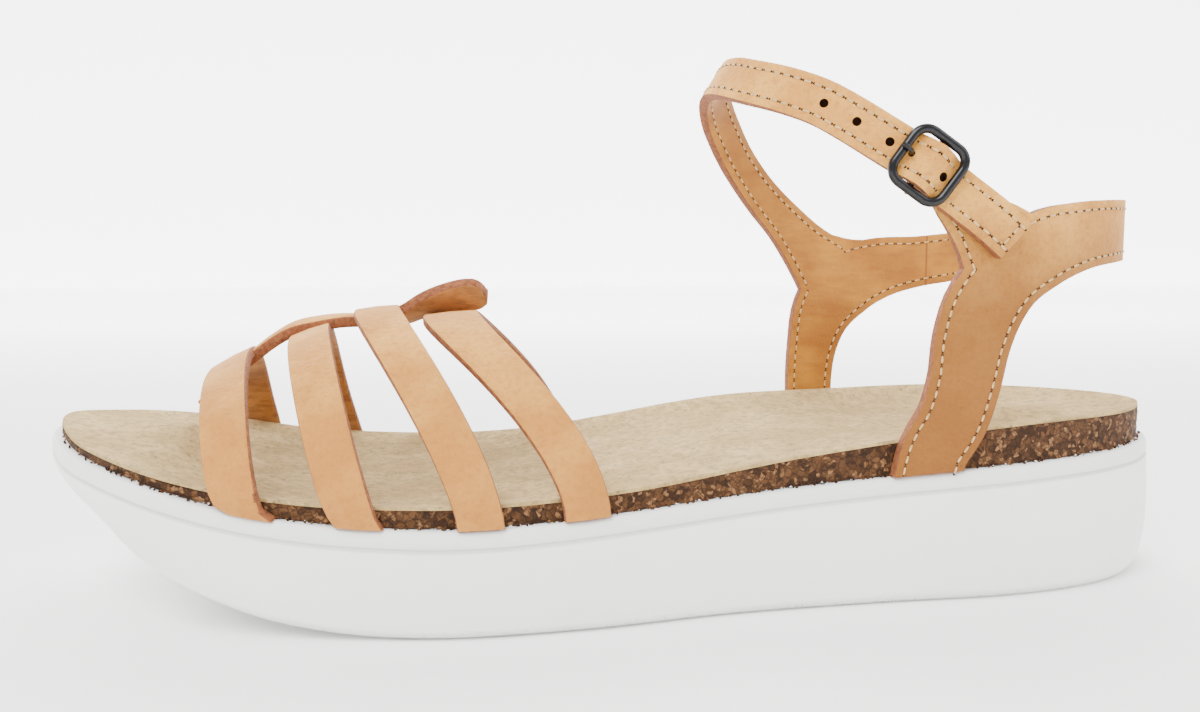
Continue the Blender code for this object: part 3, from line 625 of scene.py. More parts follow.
def ribbon(rows, step=PATTERN_STEP, square=False):
    """The outline of a strip of leather whose middle line and width are in a table.

    A square one is cut level at its first row and upright at its last.
    """
    table = np.array(rows, float)
    run = np.concatenate([[0.0], np.cumsum(np.hypot(*np.diff(table[:, :2], axis=0).T))])
    keyed = np.column_stack([run, table])
    at = np.linspace(0.0, run[-1], int(run[-1] / step) + 2)
    line = np.stack([smooth(keyed, 1, at), smooth(keyed, 2, at)], 1)
    half = smooth(keyed, 3, at)[:, None] / 2
    ahead = np.gradient(line, axis=0)
    ahead /= np.linalg.norm(ahead, axis=1)[:, None]
    if square:
        ahead[0], ahead[-1] = (0.0, 1.0), (math.copysign(1.0, ahead[-1, 0]), 0.0)
    side = np.stack([-ahead[:, 1], ahead[:, 0]], 1)
    return np.concatenate([line + side * half, (line - side * half)[::-1]])


def inside(points, outline):
    """Which points lie inside an outline."""
    ends = np.roll(outline, -1, 0)
    found = np.zeros(len(points), bool)
    for (ax, ay), (bx, by) in zip(outline, ends):
        crosses = (ay > points[:, 1]) != (by > points[:, 1])
        if ay != by:
            found ^= crosses & (points[:, 0] < (bx - ax) * (points[:, 1] - ay) / (by - ay) + ax)
    return found


def clear_of(points, outline, margin):
    """Which points stay a margin away from an outline."""
    found = np.ones(len(points), bool)
    for start, end in zip(outline, np.roll(outline, -1, 0)):
        run = end - start
        share = np.clip((points - start) @ run / (run @ run), 0, 1)
        found &= np.linalg.norm(points - start - share[:, None] * run, axis=1) > margin
    return found


def flat_pattern(outlines, extra):
    """A flat sheet that joins strips of leather, cut into even triangles, one wall thick."""
    low, high = np.min([o.min(0) for o in outlines], 0), np.max([o.max(0) for o in outlines], 0)
    rows = np.arange(low[1], high[1], PATTERN_ROW)
    grid = []
    for i, y in enumerate(rows):
        for x in np.arange(low[0] + (i % 2) * PATTERN_STEP / 2, high[0], PATTERN_STEP):
            grid.append((x, y))
    grid = np.array(grid)
    kept = np.zeros(len(grid), bool)
    for outline in outlines:
        kept |= inside(grid, outline)
    for outline in outlines:
        kept &= clear_of(grid, outline, PATTERN_CLEAR)
    points = [Vector(p) for p in (*grid[kept], *extra)]
    faces = []
    for outline in outlines:
        faces.append(list(range(len(points), len(points) + len(outline))))
        points += [Vector(p) for p in outline]
    found = delaunay_2d_cdt(points, [], faces, 1, 1e-7)
    bm = bmesh.new()
    verts = [bm.verts.new((p.x, p.y, -0.5)) for p in found[0]]
    for face in found[2]:
        bm.faces.new([verts[i] for i in face])
    bmesh.ops.remove_doubles(bm, verts=bm.verts, dist=PATTERN_WELD)
    risen = bmesh.ops.extrude_face_region(bm, geom=bm.faces[:])["geom"]
    for item in risen:
        if isinstance(item, bmesh.types.BMVert):
            item.co.z = 0.5
    return bm


def buckle_axis():
    """The buckle's place in the flat pattern and the strap's direction there."""
    step = 0.004
    heights = [float(smooth(STRAP_ROWS, 1, GIRTH - BUCKLE_AT + offset)) for offset in (-step, 0.0, step)]
    ahead = Vector((2 * step, heights[2] - heights[0])).normalized()
    return Vector((GIRTH - BUCKLE_AT, heights[1])), ahead


def past_buckle(along, height):
    """How far a place in the pattern lies past the buckle's bar, and how far across the strap."""
    centre, ahead = buckle_axis()
    away = Vector((along % GIRTH, height)) - centre
    return away.dot(ahead), away.dot(Vector((-ahead.y, ahead.x)))


BUCKLE_HALF = BUCKLE_WINDOW / 2 + BUCKLE_WIRE / 2
BUCKLE_SIDE = ANKLE_STRAP_WIDTH / 2 + 1.6 * GAP + BUCKLE_WIRE / 2
FRAME_LEVEL = QUARTER_WALL / 2 + GAP + BUCKLE_WIRE / 2
BAR_LEVEL = BAR_WIRE / 2 - QUARTER_WALL / 2
RING_RADIUS = BAR_WIRE / 2 + GAP + PRONG_WIRE / 2
LOOP_RADIUS = BAR_WIRE / 2 + GAP + LOOP_WALL / 2
HUMP = BAR_LEVEL + RING_RADIUS + PRONG_WIRE / 2 + GAP + QUARTER_WALL / 2
PRONG_HOLE = -0.7 * BUCKLE_HALF


def strap_lift(past):
    """Past the buckle the strap lies on the quarter."""
    return (QUARTER_WALL + GAP) * float(ease((past - BUCKLE_HALF) / SKIVED_RUN))


def strap_level(past):
    """The strap passes under the frame, over its bar, under the frame and onto the quarter."""
    return HUMP * float(ease(1 - abs(past) / BUCKLE_HALF)) + strap_lift(past)


def arm_level(past, share):
    """The arm is skived under the strap; share runs from -0.5 inside to 0.5 outside its wall."""
    top = strap_lift(past) - QUARTER_WALL / 2 - GAP
    thin = float(ease((past - BUCKLE_HALF) / SKIVED_RUN))
    wall = LOOP_WALL + (QUARTER_WALL - LOOP_WALL) * thin
    return top - wall * (0.5 - share)


def at_buckle(past, across, level):
    """A point given from the buckle's bar: along the strap, across it and out."""
    centre, ahead = buckle_axis()
    here = wrapped(centre.x, centre.y, 0.0)
    step = ahead * 0.002
    along = (wrapped(*(centre + step), 0.0) - wrapped(*(centre - step), 0.0)).normalized()
    out = wrapped(centre.x, centre.y, 0.001) - here
    out = (out - along * out.dot(along)).normalized()
    return here + along * past + out.cross(along) * across + out * level


def wire(points, thick, closed=False, resolution=2):
    """A round wire along points."""
    curve = bpy.data.curves.new("wire", "CURVE")
    curve.dimensions = "3D"
    curve.bevel_depth = thick / 2
    curve.bevel_resolution = resolution
    curve.use_fill_caps = True
    spline = curve.splines.new("POLY")
    spline.points.add(len(points) - 1)
    for point, place in zip(spline.points, points):
        point.co = (*place, 1.0)
    spline.use_cyclic_u = closed
    holder = bpy.data.objects.new("wire", curve)
    mesh = bpy.data.meshes.new_from_object(holder)
    bm = bmesh.new()
    bm.from_mesh(mesh)
    bpy.data.objects.remove(holder)
    bmesh.ops.remove_doubles(bm, verts=bm.verts, dist=WIRE_WELD)
    bmesh.ops.recalc_face_normals(bm, faces=bm.faces)
    return bm


def prong_route():
    """The prong's ring round the bar, then under the strap, up through its hole and over the frame."""
    route = []
    for step in range(PRONG_RING_STEPS):
        turn = math.radians(PRONG_RING_START + PRONG_RING_STEP * step)
        route.append((RING_RADIUS * math.cos(turn), BAR_LEVEL + RING_RADIUS * math.sin(turn)))
    under = strap_level(PRONG_HOLE / 2) - QUARTER_WALL / 2 - GAP - PRONG_WIRE / 2
    over = BUCKLE_WIRE / 2 + GAP + PRONG_WIRE / 2
    route.append((PRONG_HOLE / 2, under))
    route.append((PRONG_HOLE * 0.85, FRAME_LEVEL * 0.3))
    for degrees in PRONG_OVER:
        turn = math.radians(degrees)
        route.append((over * math.cos(turn) - BUCKLE_HALF, FRAME_LEVEL + over * math.sin(turn)))
    return [at_buckle(past, 0.0, level) for past, level in route]


# Where the frame's origin lies from the form's
ORIGIN_SHIFT = Vector((-0.0002288, 0.000935, 0.0))

# Details that only the looks have
EDGE_ROUND = 0.0006
EDGE_RISE = 0.75
RIM_ANGLE = math.radians(60)
SLAB_ROUND = 0.7 * EDGE_ROUND
SECTION_TURNS = (10, 45, 80)
SMOOTH_ANGLE, BED_ANGLE = 40, 60
STRAP_CROWN = 0.0002
SIDE_ROWS = 24
SIDE_TOP = 0.97
TREAD_REACHES = (0.12, 0.55, 0.88)
SHOULDER = (
    # height below the sole's top as shares of the shoulder and of its groove, outset as shares of both
    (1.0, 1.0, 0.95, 0.0),
    (1.0, 0.0, 1.0, -1.0),
    (1.0, -1.0, 0.92, 0.0),
    (0.55, 0.0, 0.91, 0.0),
    (0.22, 0.0, 0.86, 0.0),
    (0.05, 0.0, 0.72, 0.0),
    (0.0, 0.0, 0.55, 0.0),
)
CORK_ROWS = 8
CORK_ROUGH = 0.00022
CORK_STANDING = (-1.0, 0.6)
CORK_DRIFT = (0.0016, 0.0016, 0.0016)
CRUMB_SIZE, GLUE_SIZE = 0.00042, 0.0003
CRUMB_OUT, CRUMB_HIGH = (0.0001, 0.0007), 0.0005
CRUMB_STATIONS, CRUMB_SQUASH = (0.01, 0.99), (0.4, 1.0)
STRIP_END_STEPS = 9
STRIP_END_ROUND = 0.94
HOLE_OUTWARD = 0.34
SEAM = 0.00005
LINE_STEP = 0.0008

# Stitches: half sizes, rise and depth as shares of the thread's width
THREAD_FLAT = 0.42
THREAD_RAISED = 0.12
# A needle hole is a dark blob that paints the shade in the hole
NEEDLE_HOLE_SHADE = (0.75, 0.68, 0.24)
NEEDLE_SUNK = 0.05
STITCHES_MEET = 0.92
LAST_ROW_BACK = 0.9

LINING_SEAM = 0.0883
SEAM_WIDTH = 0.0004
CROOK = ((0.0610, 0.0786), (0.0690, 0.0774), (0.0752, 0.0806))
CROOK_STEPS = 8
CUTTER_WIDER = 1.6 * GAP

# Camera and lights
CAMERA_PLACE = (-0.0303, -0.2394, 0.0733)
CAMERA_TURN = -6.29
CAMERA_TIP = 5.42
BACKDROP_PLACE = 2.6
BACKDROP_LIGHT = 3.2
# Painted light: the floor's glow, faint under the sandal and rising towards the backdrop
FLOOR_LIGHT = 0.12
FLOOR_FADE = (0.12, 1.1)
PAPER_SIZE = 6.0
PAPER_MOTTLE = 2.0
SENSOR_WIDTH = 36.0
NEAREST_SEEN = 0.01
LIGHT_AIM = (0.0, 0.0, 0.03)
LIGHTS = (
    # name, place, size, power in watts
    ("key", (-0.5, -0.7, 1.1), (1.0, 0.8), 31.0),
    ("fill", (0.9, -0.5, 0.7), (0.9, 0.9), 8.0),
    ("back", (0.2, 1.0, 0.9), (1.4, 0.6), 13.0),
)
WHITE = (1.0, 1.0, 1.0, 1.0)

# Colours, linear
NUBUCK_PALE = (0.73, 0.365, 0.075)
NUBUCK_DEEP = (0.56, 0.25, 0.045)
NUBUCK_DARK = (0.34, 0.12, 0.020)
# Painted shade, on the quarters' legs and low on the shoe
NUBUCK_LEG_SHADE = (0.17, 0.055, 0.008)
NUBUCK_LOW_SHADE = (0.36, 0.135, 0.024)
LINING_PALE = (0.46, 0.195, 0.014)
LINING_DEEP = (0.32, 0.115, 0.006)
# Painted crease shade of the lining, and its dark seam line
LINING_SHADE_AND_SEAM = (0.20, 0.06, 0.005)
FLESH_PALE = (0.47, 0.215, 0.06)
FLESH_DEEP = (0.33, 0.135, 0.034)
EDGE_PALE = (0.30, 0.10, 0.035)
EDGE_DEEP = (0.16, 0.05, 0.018)
# Dark pores of the raw edge, and painted shade in creases and holes
EDGE_PORES_AND_SHADE = (0.06, 0.026, 0.014)
SUEDE_PALE = (0.84, 0.60, 0.25)
SUEDE_DEEP = (0.66, 0.44, 0.16)
SUEDE_FIBRE = (0.36, 0.22, 0.08)
SUEDE_PORE = (0.12, 0.07, 0.035)
CORK_DEEP = (0.033, 0.013, 0.004)
CORK_MIDDLE = (0.100, 0.043, 0.015)
CORK_PALE = (0.27, 0.135, 0.055)
CORK_PIT = (0.014, 0.006, 0.003)
FOAM_PALE = (0.92, 0.915, 0.895)
FOAM_DEEP = (0.88, 0.875, 0.855)
# Painted shade over the shoulder band, and grey mottling
FOAM_SHADE_AND_MOTTLE = (0.76, 0.755, 0.735)
# Painted shade in the shoulder's groove and just over the floor
FOAM_SHADE = (0.42, 0.41, 0.39)
FOAM_SPECK = (0.20, 0.19, 0.18)
METAL_DARK = (0.004, 0.004, 0.005)
METAL_WORN = (0.015, 0.015, 0.017)
THREAD_PALE = (0.62, 0.42, 0.19)
THREAD_DEEP = (0.42, 0.26, 0.10)
# Painted shade inside holes and slots
HOLE_SHADE = (0.03, 0.014, 0.008)
PAPER_PALE = (0.95, 0.95, 0.945)
PAPER_DEEP = (0.93, 0.93, 0.925)


def placed(bm, name, *finishes, shift=ORIGIN_SHIFT):
    """A new object of the scene from a bmesh, moved from the form's place to the frame's."""
    bmesh.ops.translate(bm, verts=bm.verts, vec=shift)
    mesh = bpy.data.meshes.new(name)
    bm.to_mesh(mesh)
    bm.free()
    for finish in finishes:
        mesh.materials.append(finish)
    made = bpy.data.objects.new(name, mesh)
    bpy.context.scene.collection.objects.link(made)
    return made


def smoothed(mesh, angle):
    """Shades a mesh smoothly but for edges sharper than the angle."""
    mesh.shade_smooth()
    mesh.set_sharp_from_angle(angle=math.radians(angle))


def finished(bm, name, *finishes, smooth_angle=SMOOTH_ANGLE):
    """A piece from a bmesh, smoothly shaded, with its named finishes."""
    made = placed(bm, name, *(finish_of(finish) for finish in finishes))
    smoothed(made.data, smooth_angle)
    return made


def shown(made, slot, *nodes):
    """Hands a piece to the frame: what it rides on, its slot and the CAD nodes that it stands for."""
    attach(made, "root")
    if nodes:
        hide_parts(*nodes)


def cut(target, cutters):
    """Cuts the solids away from a piece for good, and removes them."""
    for cutter in cutters:
        modifier = target.modifiers.new(cutter.name, "BOOLEAN")
        modifier.operation = "DIFFERENCE"
        modifier.solver = "EXACT"
        modifier.material_mode = "TRANSFER"
        modifier.object = cutter
    graph = bpy.context.evaluated_depsgraph_get()
    mesh = bpy.data.meshes.new_from_object(target.evaluated_get(graph))
    target.modifiers.clear()
    target.data = mesh
    smoothed(mesh, SMOOTH_ANGLE)
    for cutter in cutters:
        bpy.data.objects.remove(cutter, do_unlink=True)


class Shader:
    """A Principled material, coloured coat by coat through short calls.

    A mask runs from 0 to 1 as its pattern goes from low to high, and falls where low is over high.
    """

    def __init__(self, name, **constants):
        self.material = bpy.data.materials.new(name)
        self.material.use_nodes = True
        self.tree = self.material.node_tree
        self.surface = self.tree.nodes["Principled BSDF"]
        self.place = self.tree.nodes.new("ShaderNodeTexCoord").outputs["Object"]
        self.colour = self.normal = None
        for socket, value in constants.items():
            self.feed(self.surface, socket.replace("_", " "), value)

    def feed(self, node, socket, value):
        """Links or sets one input."""
        if isinstance(value, bpy.types.NodeSocket):
            self.tree.links.new(value, node.inputs[socket])
        elif node.inputs[socket].type == "RGBA":
            node.inputs[socket].default_value = (*value[:3], 1.0)
        else:
            node.inputs[socket].default_value = value

    def node(self, kind, inputs, output=0, **settings):
        made = self.tree.nodes.new(kind)
        for key, value in settings.items():
            setattr(made, key, value)
        for socket, value in inputs.items():
            self.feed(made, socket, value)
        return made.outputs[output]

    def stretched(self, x, y, z):
        return self.node("ShaderNodeMapping", {"Vector": self.place, "Scale": (x, y, z)})

    def noise(self, scale, detail=3.0, roughness=0.55, at=None, output="Fac"):
        inputs = {"Vector": at or self.place, "Scale": scale, "Detail": detail, "Roughness": roughness}
        return self.node("ShaderNodeTexNoise", inputs, output)

    def cells(self, scale, at=None, output="Distance", feature="F1"):
        inputs = {"Vector": at or self.place, "Scale": scale}
        return self.node("ShaderNodeTexVoronoi", inputs, output, feature=feature)

    def tone(self, scale, at, channel):
        """One even value for each cell."""
        return self.node("ShaderNodeSeparateColor", {"Color": self.cells(scale, at, "Color")}, channel)

    def mask(self, value, low, high, start=0.0, end=1.0):
        inputs = {"Value": value, "From Min": low, "From Max": high, "To Min": start, "To Max": end}
        return self.node("ShaderNodeMapRange", inputs, "Result", interpolation_type="SMOOTHSTEP")

    def cloud(self, low, high, *noise):
        return self.mask(self.noise(*noise), low, high)

    def pits(self, scale, low, high):
        return self.mask(self.cells(scale), low, high)

    def along(self, axis, low, high, *ends):
        return self.mask(self.node("ShaderNodeSeparateXYZ", {"Vector": self.place}, axis), low, high, *ends)

    def noted(self, name, low, high):
        """A mask over an attribute of the piece."""
        return self.mask(self.node("ShaderNodeAttribute", {}, "Fac", attribute_name=name), low, high)

    def times(self, first, *others):
        for other in others:
            first = self.node("ShaderNodeMath", {0: first, 1: other}, operation="MULTIPLY")
        return first

    def base(self, mask, deep, pale):
        self.colour = self.node("ShaderNodeMix", {0: mask, 6: deep, 7: pale}, 2, data_type="RGBA")

    def coat(self, share, tint, *masks):
        """Lays a tint over the colour so far, by a share and by masks."""
        self.base(self.times(share, *masks), self.colour, tint)

    def bump(self, height, distance, strength):
        """Raises the surface by a pattern, on top of the bumps so far."""
        inputs = {"Height": height, "Distance": distance, "Strength": strength}
        if self.normal:
            inputs["Normal"] = self.normal
        self.normal = self.node("ShaderNodeBump", inputs)

    def finish(self):
        self.feed(self.surface, "Base Color", self.colour)
        if self.normal:
            self.feed(self.surface, "Normal", self.normal)
        return self.material


def nubuck(s):
    """Tan nubuck: a fine nap, cloudy patches, darker and browner low on the shoe and on the legs."""
    s.base(s.cloud(0.35, 0.68, 90, 4.0), NUBUCK_DEEP, NUBUCK_PALE)
    s.coat(0.42, NUBUCK_DARK, s.cloud(0.44, 0.68, 800, 5.0, 0.75))
    # Painted shade: darker towards the bottom of the shoe
    s.coat(0.6, NUBUCK_LOW_SHADE, s.along("Z", 0.078, 0.024))
    # Painted shade on the legs of the quarters
    s.coat(0.8, NUBUCK_LEG_SHADE, s.along("Z", 0.092, 0.06), s.along("X", 0.028, 0.036))
    s.coat(0.3, NUBUCK_DARK, s.cloud(0.62, 0.78, 420, 5.0, 0.7))
    s.bump(s.noise(160, 5.0, 0.6, s.stretched(1.0, 1.0, 2.4)), 0.0012, 0.45)
    s.bump(s.cells(950), 0.0003, 0.6)
    s.bump(s.noise(4200, 2.0), 0.0001, 0.6)


def lining(s):
    """Golden tan lining leather, smoother than the outside, with cross wrinkles and a seam in the band."""
    s.base(s.cloud(0.35, 0.68, 70, 4.0), LINING_DEEP, LINING_PALE)
    wrinkle = s.noise(120, 6.0, 0.62, s.stretched(0.8, 0.8, 3.4))
    # Painted crease shade along the wrinkles
    s.coat(0.28, LINING_SHADE_AND_SEAM, s.mask(wrinkle, 0.42, 0.62))
    seam = [s.along("X", LINING_SEAM + way * SEAM_WIDTH, LINING_SEAM) for way in (-1, 1)]
    s.coat(1.0, LINING_SHADE_AND_SEAM, *seam)
    s.bump(wrinkle, 0.0007, 0.4)
    s.bump(s.cells(1300), 0.0001, 0.5)


def flesh(s):
    """The brown under side of the vamp's straps, with fine level wrinkles."""
    s.base(s.cloud(0.35, 0.66, 110, 4.0), FLESH_DEEP, FLESH_PALE)
    wrinkle = s.noise(260, 6.0, 0.65, s.stretched(0.7, 0.7, 3.0))
    # Painted crease shade along the wrinkles
    s.coat(0.35, EDGE_PORES_AND_SHADE, s.mask(wrinkle, 0.45, 0.62))
    s.bump(wrinkle, 0.0008, 0.5)
    s.bump(s.noise(3200, 2.0), 0.00012, 0.6)


def raw_edge(s):
    """A cut edge of leather: reddish brown fibres with dark pores."""
    s.base(s.cloud(0.32, 0.7, 900, 4.0, 0.65), EDGE_DEEP, EDGE_PALE)
    s.coat(0.6, EDGE_PORES_AND_SHADE, s.pits(1300, 0.32, 0.12))
    s.bump(s.noise(1500, 4.0, 0.7), 0.0003, 0.7)


def suede(s):
    """Pale beige suede: cloudy, with a fine short nap and scattered dark pores."""
    s.base(s.cloud(0.36, 0.66, 75, 5.0, 0.65, s.stretched(0.8, 1.0, 1.0)), SUEDE_DEEP, SUEDE_PALE)
    s.coat(0.62, SUEDE_FIBRE, s.cloud(0.43, 0.62, 480, 6.0, 0.8))
    s.coat(0.6, SUEDE_PORE, s.pits(620, 0.34, 0.16), s.cloud(0.5, 0.62, 330, 3.0))
    s.bump(s.noise(650, 6.0, 0.75), 0.0018, 1.0)
    s.bump(s.noise(120, 3.0), 0.0016, 0.6)


def cork(s):
    """Ground cork: pressed brown grains of several browns with lighter flecks and dark pits."""
    ways = s.noise(420, 2.0, 0.5, output="Color")
    drift = s.node("ShaderNodeVectorMath", {0: ways, 1: CORK_DRIFT}, operation="MULTIPLY")
    moved = s.node("ShaderNodeVectorMath", {0: s.place, 1: drift}, operation="ADD")
    s.base(s.mask(s.tone(620, moved, 0), 0.1, 0.95), CORK_DEEP, CORK_MIDDLE)
    s.coat(0.75, CORK_PALE, s.mask(s.tone(1150, moved, 1), 0.8, 0.93))
    s.coat(0.65, CORK_PIT, s.mask(s.cells(760, moved, feature="DISTANCE_TO_EDGE"), 0.12, 0.02))
    s.coat(0.5, CORK_PIT, s.cloud(0.6, 0.75, 420, 2.0))
    s.bump(s.cells(620, moved), 0.0006, 0.6)
    s.bump(s.noise(2400, 4.0, 0.7), 0.0003, 0.6)


def foam(s):
    """Off-white foam rubber: greyer above the groove, rough and speckled just over the floor."""
    low = s.noted("above_tread", 0.0026, 0.0004)
    s.base(s.cloud(0.3, 0.7, 28, 3.0), FOAM_DEEP, FOAM_PALE)
    # Painted shade over the shoulder band
    s.coat(0.6, FOAM_SHADE_AND_MOTTLE, s.noted("below_top", 0.0039, 0.0032))
    # Painted shade in the shoulder's groove
    s.coat(0.55, FOAM_SHADE, s.noted("below_top", 0.0031, 0.0036), s.noted("below_top", 0.0045, 0.0039))
    # Painted shade just over the floor
    s.coat(0.22, FOAM_SHADE, low)
    s.coat(0.8, FOAM_SPECK, s.pits(900, 0.3, 0.12), s.cloud(0.45, 0.62, 260, 3.0), low)
    s.coat(0.35, FOAM_SHADE_AND_MOTTLE, s.cloud(0.66, 0.76, 1100, 4.0, 0.7))
    s.bump(s.times(s.noise(800, 4.0, 0.7), s.mask(low, 0.0, 1.0, 0.12, 1.0)), 0.0006, 0.6)
    ripple = s.noise(300, 2.0, 0.5, s.stretched(1.0, 1.0, 0.2))
    s.bump(s.times(ripple, s.mask(low, 0.0, 1.0, 0.02, 1.0)), 0.0018, 0.5)


def black_metal(s):
    """Glossy black paint, a little worn."""
    s.base(s.cloud(0.55, 0.8, 900, 4.0, 0.65), METAL_DARK, METAL_WORN)
    s.bump(s.noise(700, 3.0), 0.00006, 0.4)


def thread(s):
    """Cream thread with its plies."""
    ply = s.noise(2600, 2.0, 0.5, s.stretched(1.0, 1.0, 0.5))
    s.base(s.mask(ply, 0.35, 0.65), THREAD_DEEP, THREAD_PALE)
    s.bump(ply, 0.0002, 0.6)


def dark_hole(s):
    """The shade inside a hole."""
    s.base(s.noise(1800), HOLE_SHADE, EDGE_PORES_AND_SHADE)


FINISHES = {
    # name: what lays its colour and grain, roughness, specular level, other inputs
    "nubuck": (nubuck, 0.85, 0.2, {"Sheen_Weight": 0.08, "Sheen_Roughness": 0.5}),
    "lining": (lining, 0.55, 0.4, {"Coat_Weight": 0.05, "Coat_Roughness": 0.4}),
    "flesh side": (flesh, 0.85, 0.25, {"Sheen_Weight": 0.12}),
    "raw edge": (raw_edge, 0.8, 0.3, {}),
    "suede": (suede, 0.95, 0.1, {"Sheen_Weight": 0.15, "Sheen_Roughness": 0.6}),
    "cork": (cork, 0.88, 0.25, {}),
    "foam rubber": (foam, 0.62, 0.35, {"Subsurface_Weight": 0.06, "Subsurface_Scale": 0.004}),
    "black metal": (black_metal, 0.28, 0.12, {"Coat_Weight": 0.4, "Coat_Roughness": 0.04}),
    "thread": (thread, 0.7, 0.3, {"Sheen_Weight": 0.2}),
    "needle hole": (dark_hole, 0.9, 0.1, {}),
}
LEATHERS = ("nubuck", "lining", "raw edge", "flesh side")
MADE = {}


def finish_of(name):
    """A material, made at its first use."""
    if name not in MADE:
        lay, roughness, specular, others = FINISHES[name]
        shader = Shader(name, Roughness=roughness, Specular_IOR_Level=specular, **others)
        lay(shader)
        MADE[name] = shader.finish()
    return MADE[name]


def strap_section(width, wall):
    """A strip's section as (across, out) pairs: rounded edges and a slightly raised face."""
    half, thick = width / 2, wall / 2
    round_edge = min(EDGE_ROUND, thick * 0.8)
    found = []
    for way_across, way_out in ((1, -1), (1, 1), (-1, 1), (-1, -1)):
        for degrees in SECTION_TURNS[::way_across * way_out]:
            turn = math.radians(degrees)
            across = way_across * (half - round_edge + round_edge * math.cos(turn))
            out = way_out * (thick - round_edge + round_edge * math.sin(turn))
            found.append((across, out))
    found.insert(len(found) // 2, (0.0, thick + STRAP_CROWN))
    return found


def sort_face(face, rise, inner):
    """Gives a face the outside, the cut edge or the inner side, by how far it faces out."""
    edge_slot = LEATHERS.index("raw edge")
    face.material_index = edge_slot if abs(rise) < EDGE_RISE else (0 if rise > 0 else inner)


def rounded_strip(stations, widths, wall):
    """A strip carried along its route, with its faces sorted into outside, cut edge and inner side."""
    inner = LEATHERS.index("flesh side")
    rings = []
    for (point, across, out), width in zip(stations, widths):
        rings.append([point + across * a + out * o for a, o in strap_section(width, wall)])
    bm = lofted(rings, flat_cap)
    points = np.array([station[0] for station in stations])
    bm.normal_update()
    for face in bm.faces:
        centre = face.calc_center_median()
        nearest = int(np.argmin(np.linalg.norm(points - np.array(centre), axis=1)))
        sort_face(face, face.normal.dot(stations[nearest][2]), inner)
    return bm


def build_vamp(settings):
    """Four straps and the strip woven through them."""
    for i, row in enumerate(STRAPS):
        route, widths = strap_route(row, settings.strap_steps)
        bm = rounded_strip(route, widths, STRAP_WALL)
        made = finished(bm, f"vamp_strap_{i + 1}_leather", *LEATHERS)
        nodes = ["vamp"] if i == 0 else []
        shown(made, "leather", *nodes)
    route = strip_route(settings.strap_steps * 2)
    count = len(route)
    widths = []
    for i in range(count):
        near_end = min(max(i - count + 1 + STRIP_END_STEPS, 0) / STRIP_END_STEPS, STRIP_END_ROUND)
        widths.append(STRIP_WIDTH * math.sqrt(1 - near_end**2))
    bm = rounded_strip(route, widths, STRIP_WALL)
    shown(finished(bm, "vamp_strip_leather", *LEATHERS), "leather")


def leather_slab(outlines, extra=()):
    """A joined sheet in the flat, one wall thick, with rounded edges and its faces sorted."""
    bm = flat_pattern(outlines, extra)
    for vert in bm.verts:
        vert.co.z *= QUARTER_WALL
    bmesh.ops.recalc_face_normals(bm, faces=bm.faces)
    rims = [e for e in bm.edges if len(e.link_faces) == 2 and e.calc_face_angle() > RIM_ANGLE]
    rims = [e for e in rims if abs(e.verts[0].co.z - e.verts[1].co.z) < 1e-6]
    how = {"offset_type": "OFFSET", "segments": 2, "profile": 0.5, "affect": "EDGES", "clamp_overlap": True}
    bmesh.ops.bevel(bm, geom=rims, offset=SLAB_ROUND, material=-1, **how)
    for face in bm.faces:
        sort_face(face, face.normal.z, LEATHERS.index("lining"))
    return bm


def quarter_outlines():
    """The outer quarter's strips of leather, and the extra points of its loop."""
    centre, ahead = buckle_axis()
    centre = centre - Vector((GIRTH, 0.0))
    loop = LOOP_RADIUS * LOOP_TURN
    arm, tongue = pattern(OUTER_ARM), []
    for past in (ARM_END[0] * BUCKLE_HALF, ARM_END[1] * BUCKLE_HALF):
        arm.append((*(centre + ahead * past), LOOP_WIDTH))
    for past in (TONGUE_START * BUCKLE_HALF, 0.0, -loop):
        tongue.append((*(centre + ahead * past), LOOP_WIDTH))
    extra = []
    for i in range(1, 8):
        for across in (-0.25, 0.0, 0.25):
            side = Vector((-ahead.y, ahead.x)) * (across * LOOP_WIDTH)
            extra.append(centre + ahead * (loop * (0.1 - i / 8)) + side)
    return [ribbon(pattern(OUTER_LEG), square=True), ribbon(arm), ribbon(tongue, LOOP_WALL * 1.5)], extra


def outer_place(along, height, share):
    """Where a place of the outer quarter's pattern lies; share runs from -0.5 inside to 0.5 outside."""
    past, across = past_buckle(along, height)
    if along > 0 or abs(across) > SKIVED_WIDTH or past > BUCKLE_HALF + SKIVED_RUN:
        return wrapped(along, height, share * QUARTER_WALL)
    if past >= 0:
        return wrapped(along, height, arm_level(past, share))
    turn = -past / LOOP_RADIUS
    reach = LOOP_RADIUS - share * LOOP_WALL
    return at_buckle(-reach * math.sin(turn), across, BAR_LEVEL - reach * math.cos(turn))


def inner_place(along, height, share):
    """Where a place of the inner quarter's and the strap's pattern lies."""
    lift = strap_level(past_buckle(along, height)[0]) if along > GIRTH / 2 else 0.0
    return wrapped(along, height, share * QUARTER_WALL + lift)


def inner_outlines():
    """The inner quarter's leg, the ankle strap and the crook between them."""
    leg = pattern(INNER_LEG)
    leg[-1] = (pattern(OUTER_LEG)[-1][0] - SEAM, *leg[-1][1:])
    return [ribbon(leg, square=True), ribbon(STRAP_ROWS), crook()]


def crook():
    """The leather that rounds the crook between the strap and the heel band."""
    low, corner, high = (np.array(place) for place in CROOK)
    curve = []
    for share in np.arange(CROOK_STEPS + 1) / CROOK_STEPS:
        curve.append((1 - share) ** 2 * low + 2 * share * (1 - share) * corner + share**2 * high)
    inward = corner - (low + high) / 2
    curve.append(corner + inward * 0.8)
    return np.array(curve)


def guide(name, bm, finish="needle hole"):
    """A solid that only cuts others, and gives its cuts their finish."""
    return placed(bm, name, finish_of(finish))


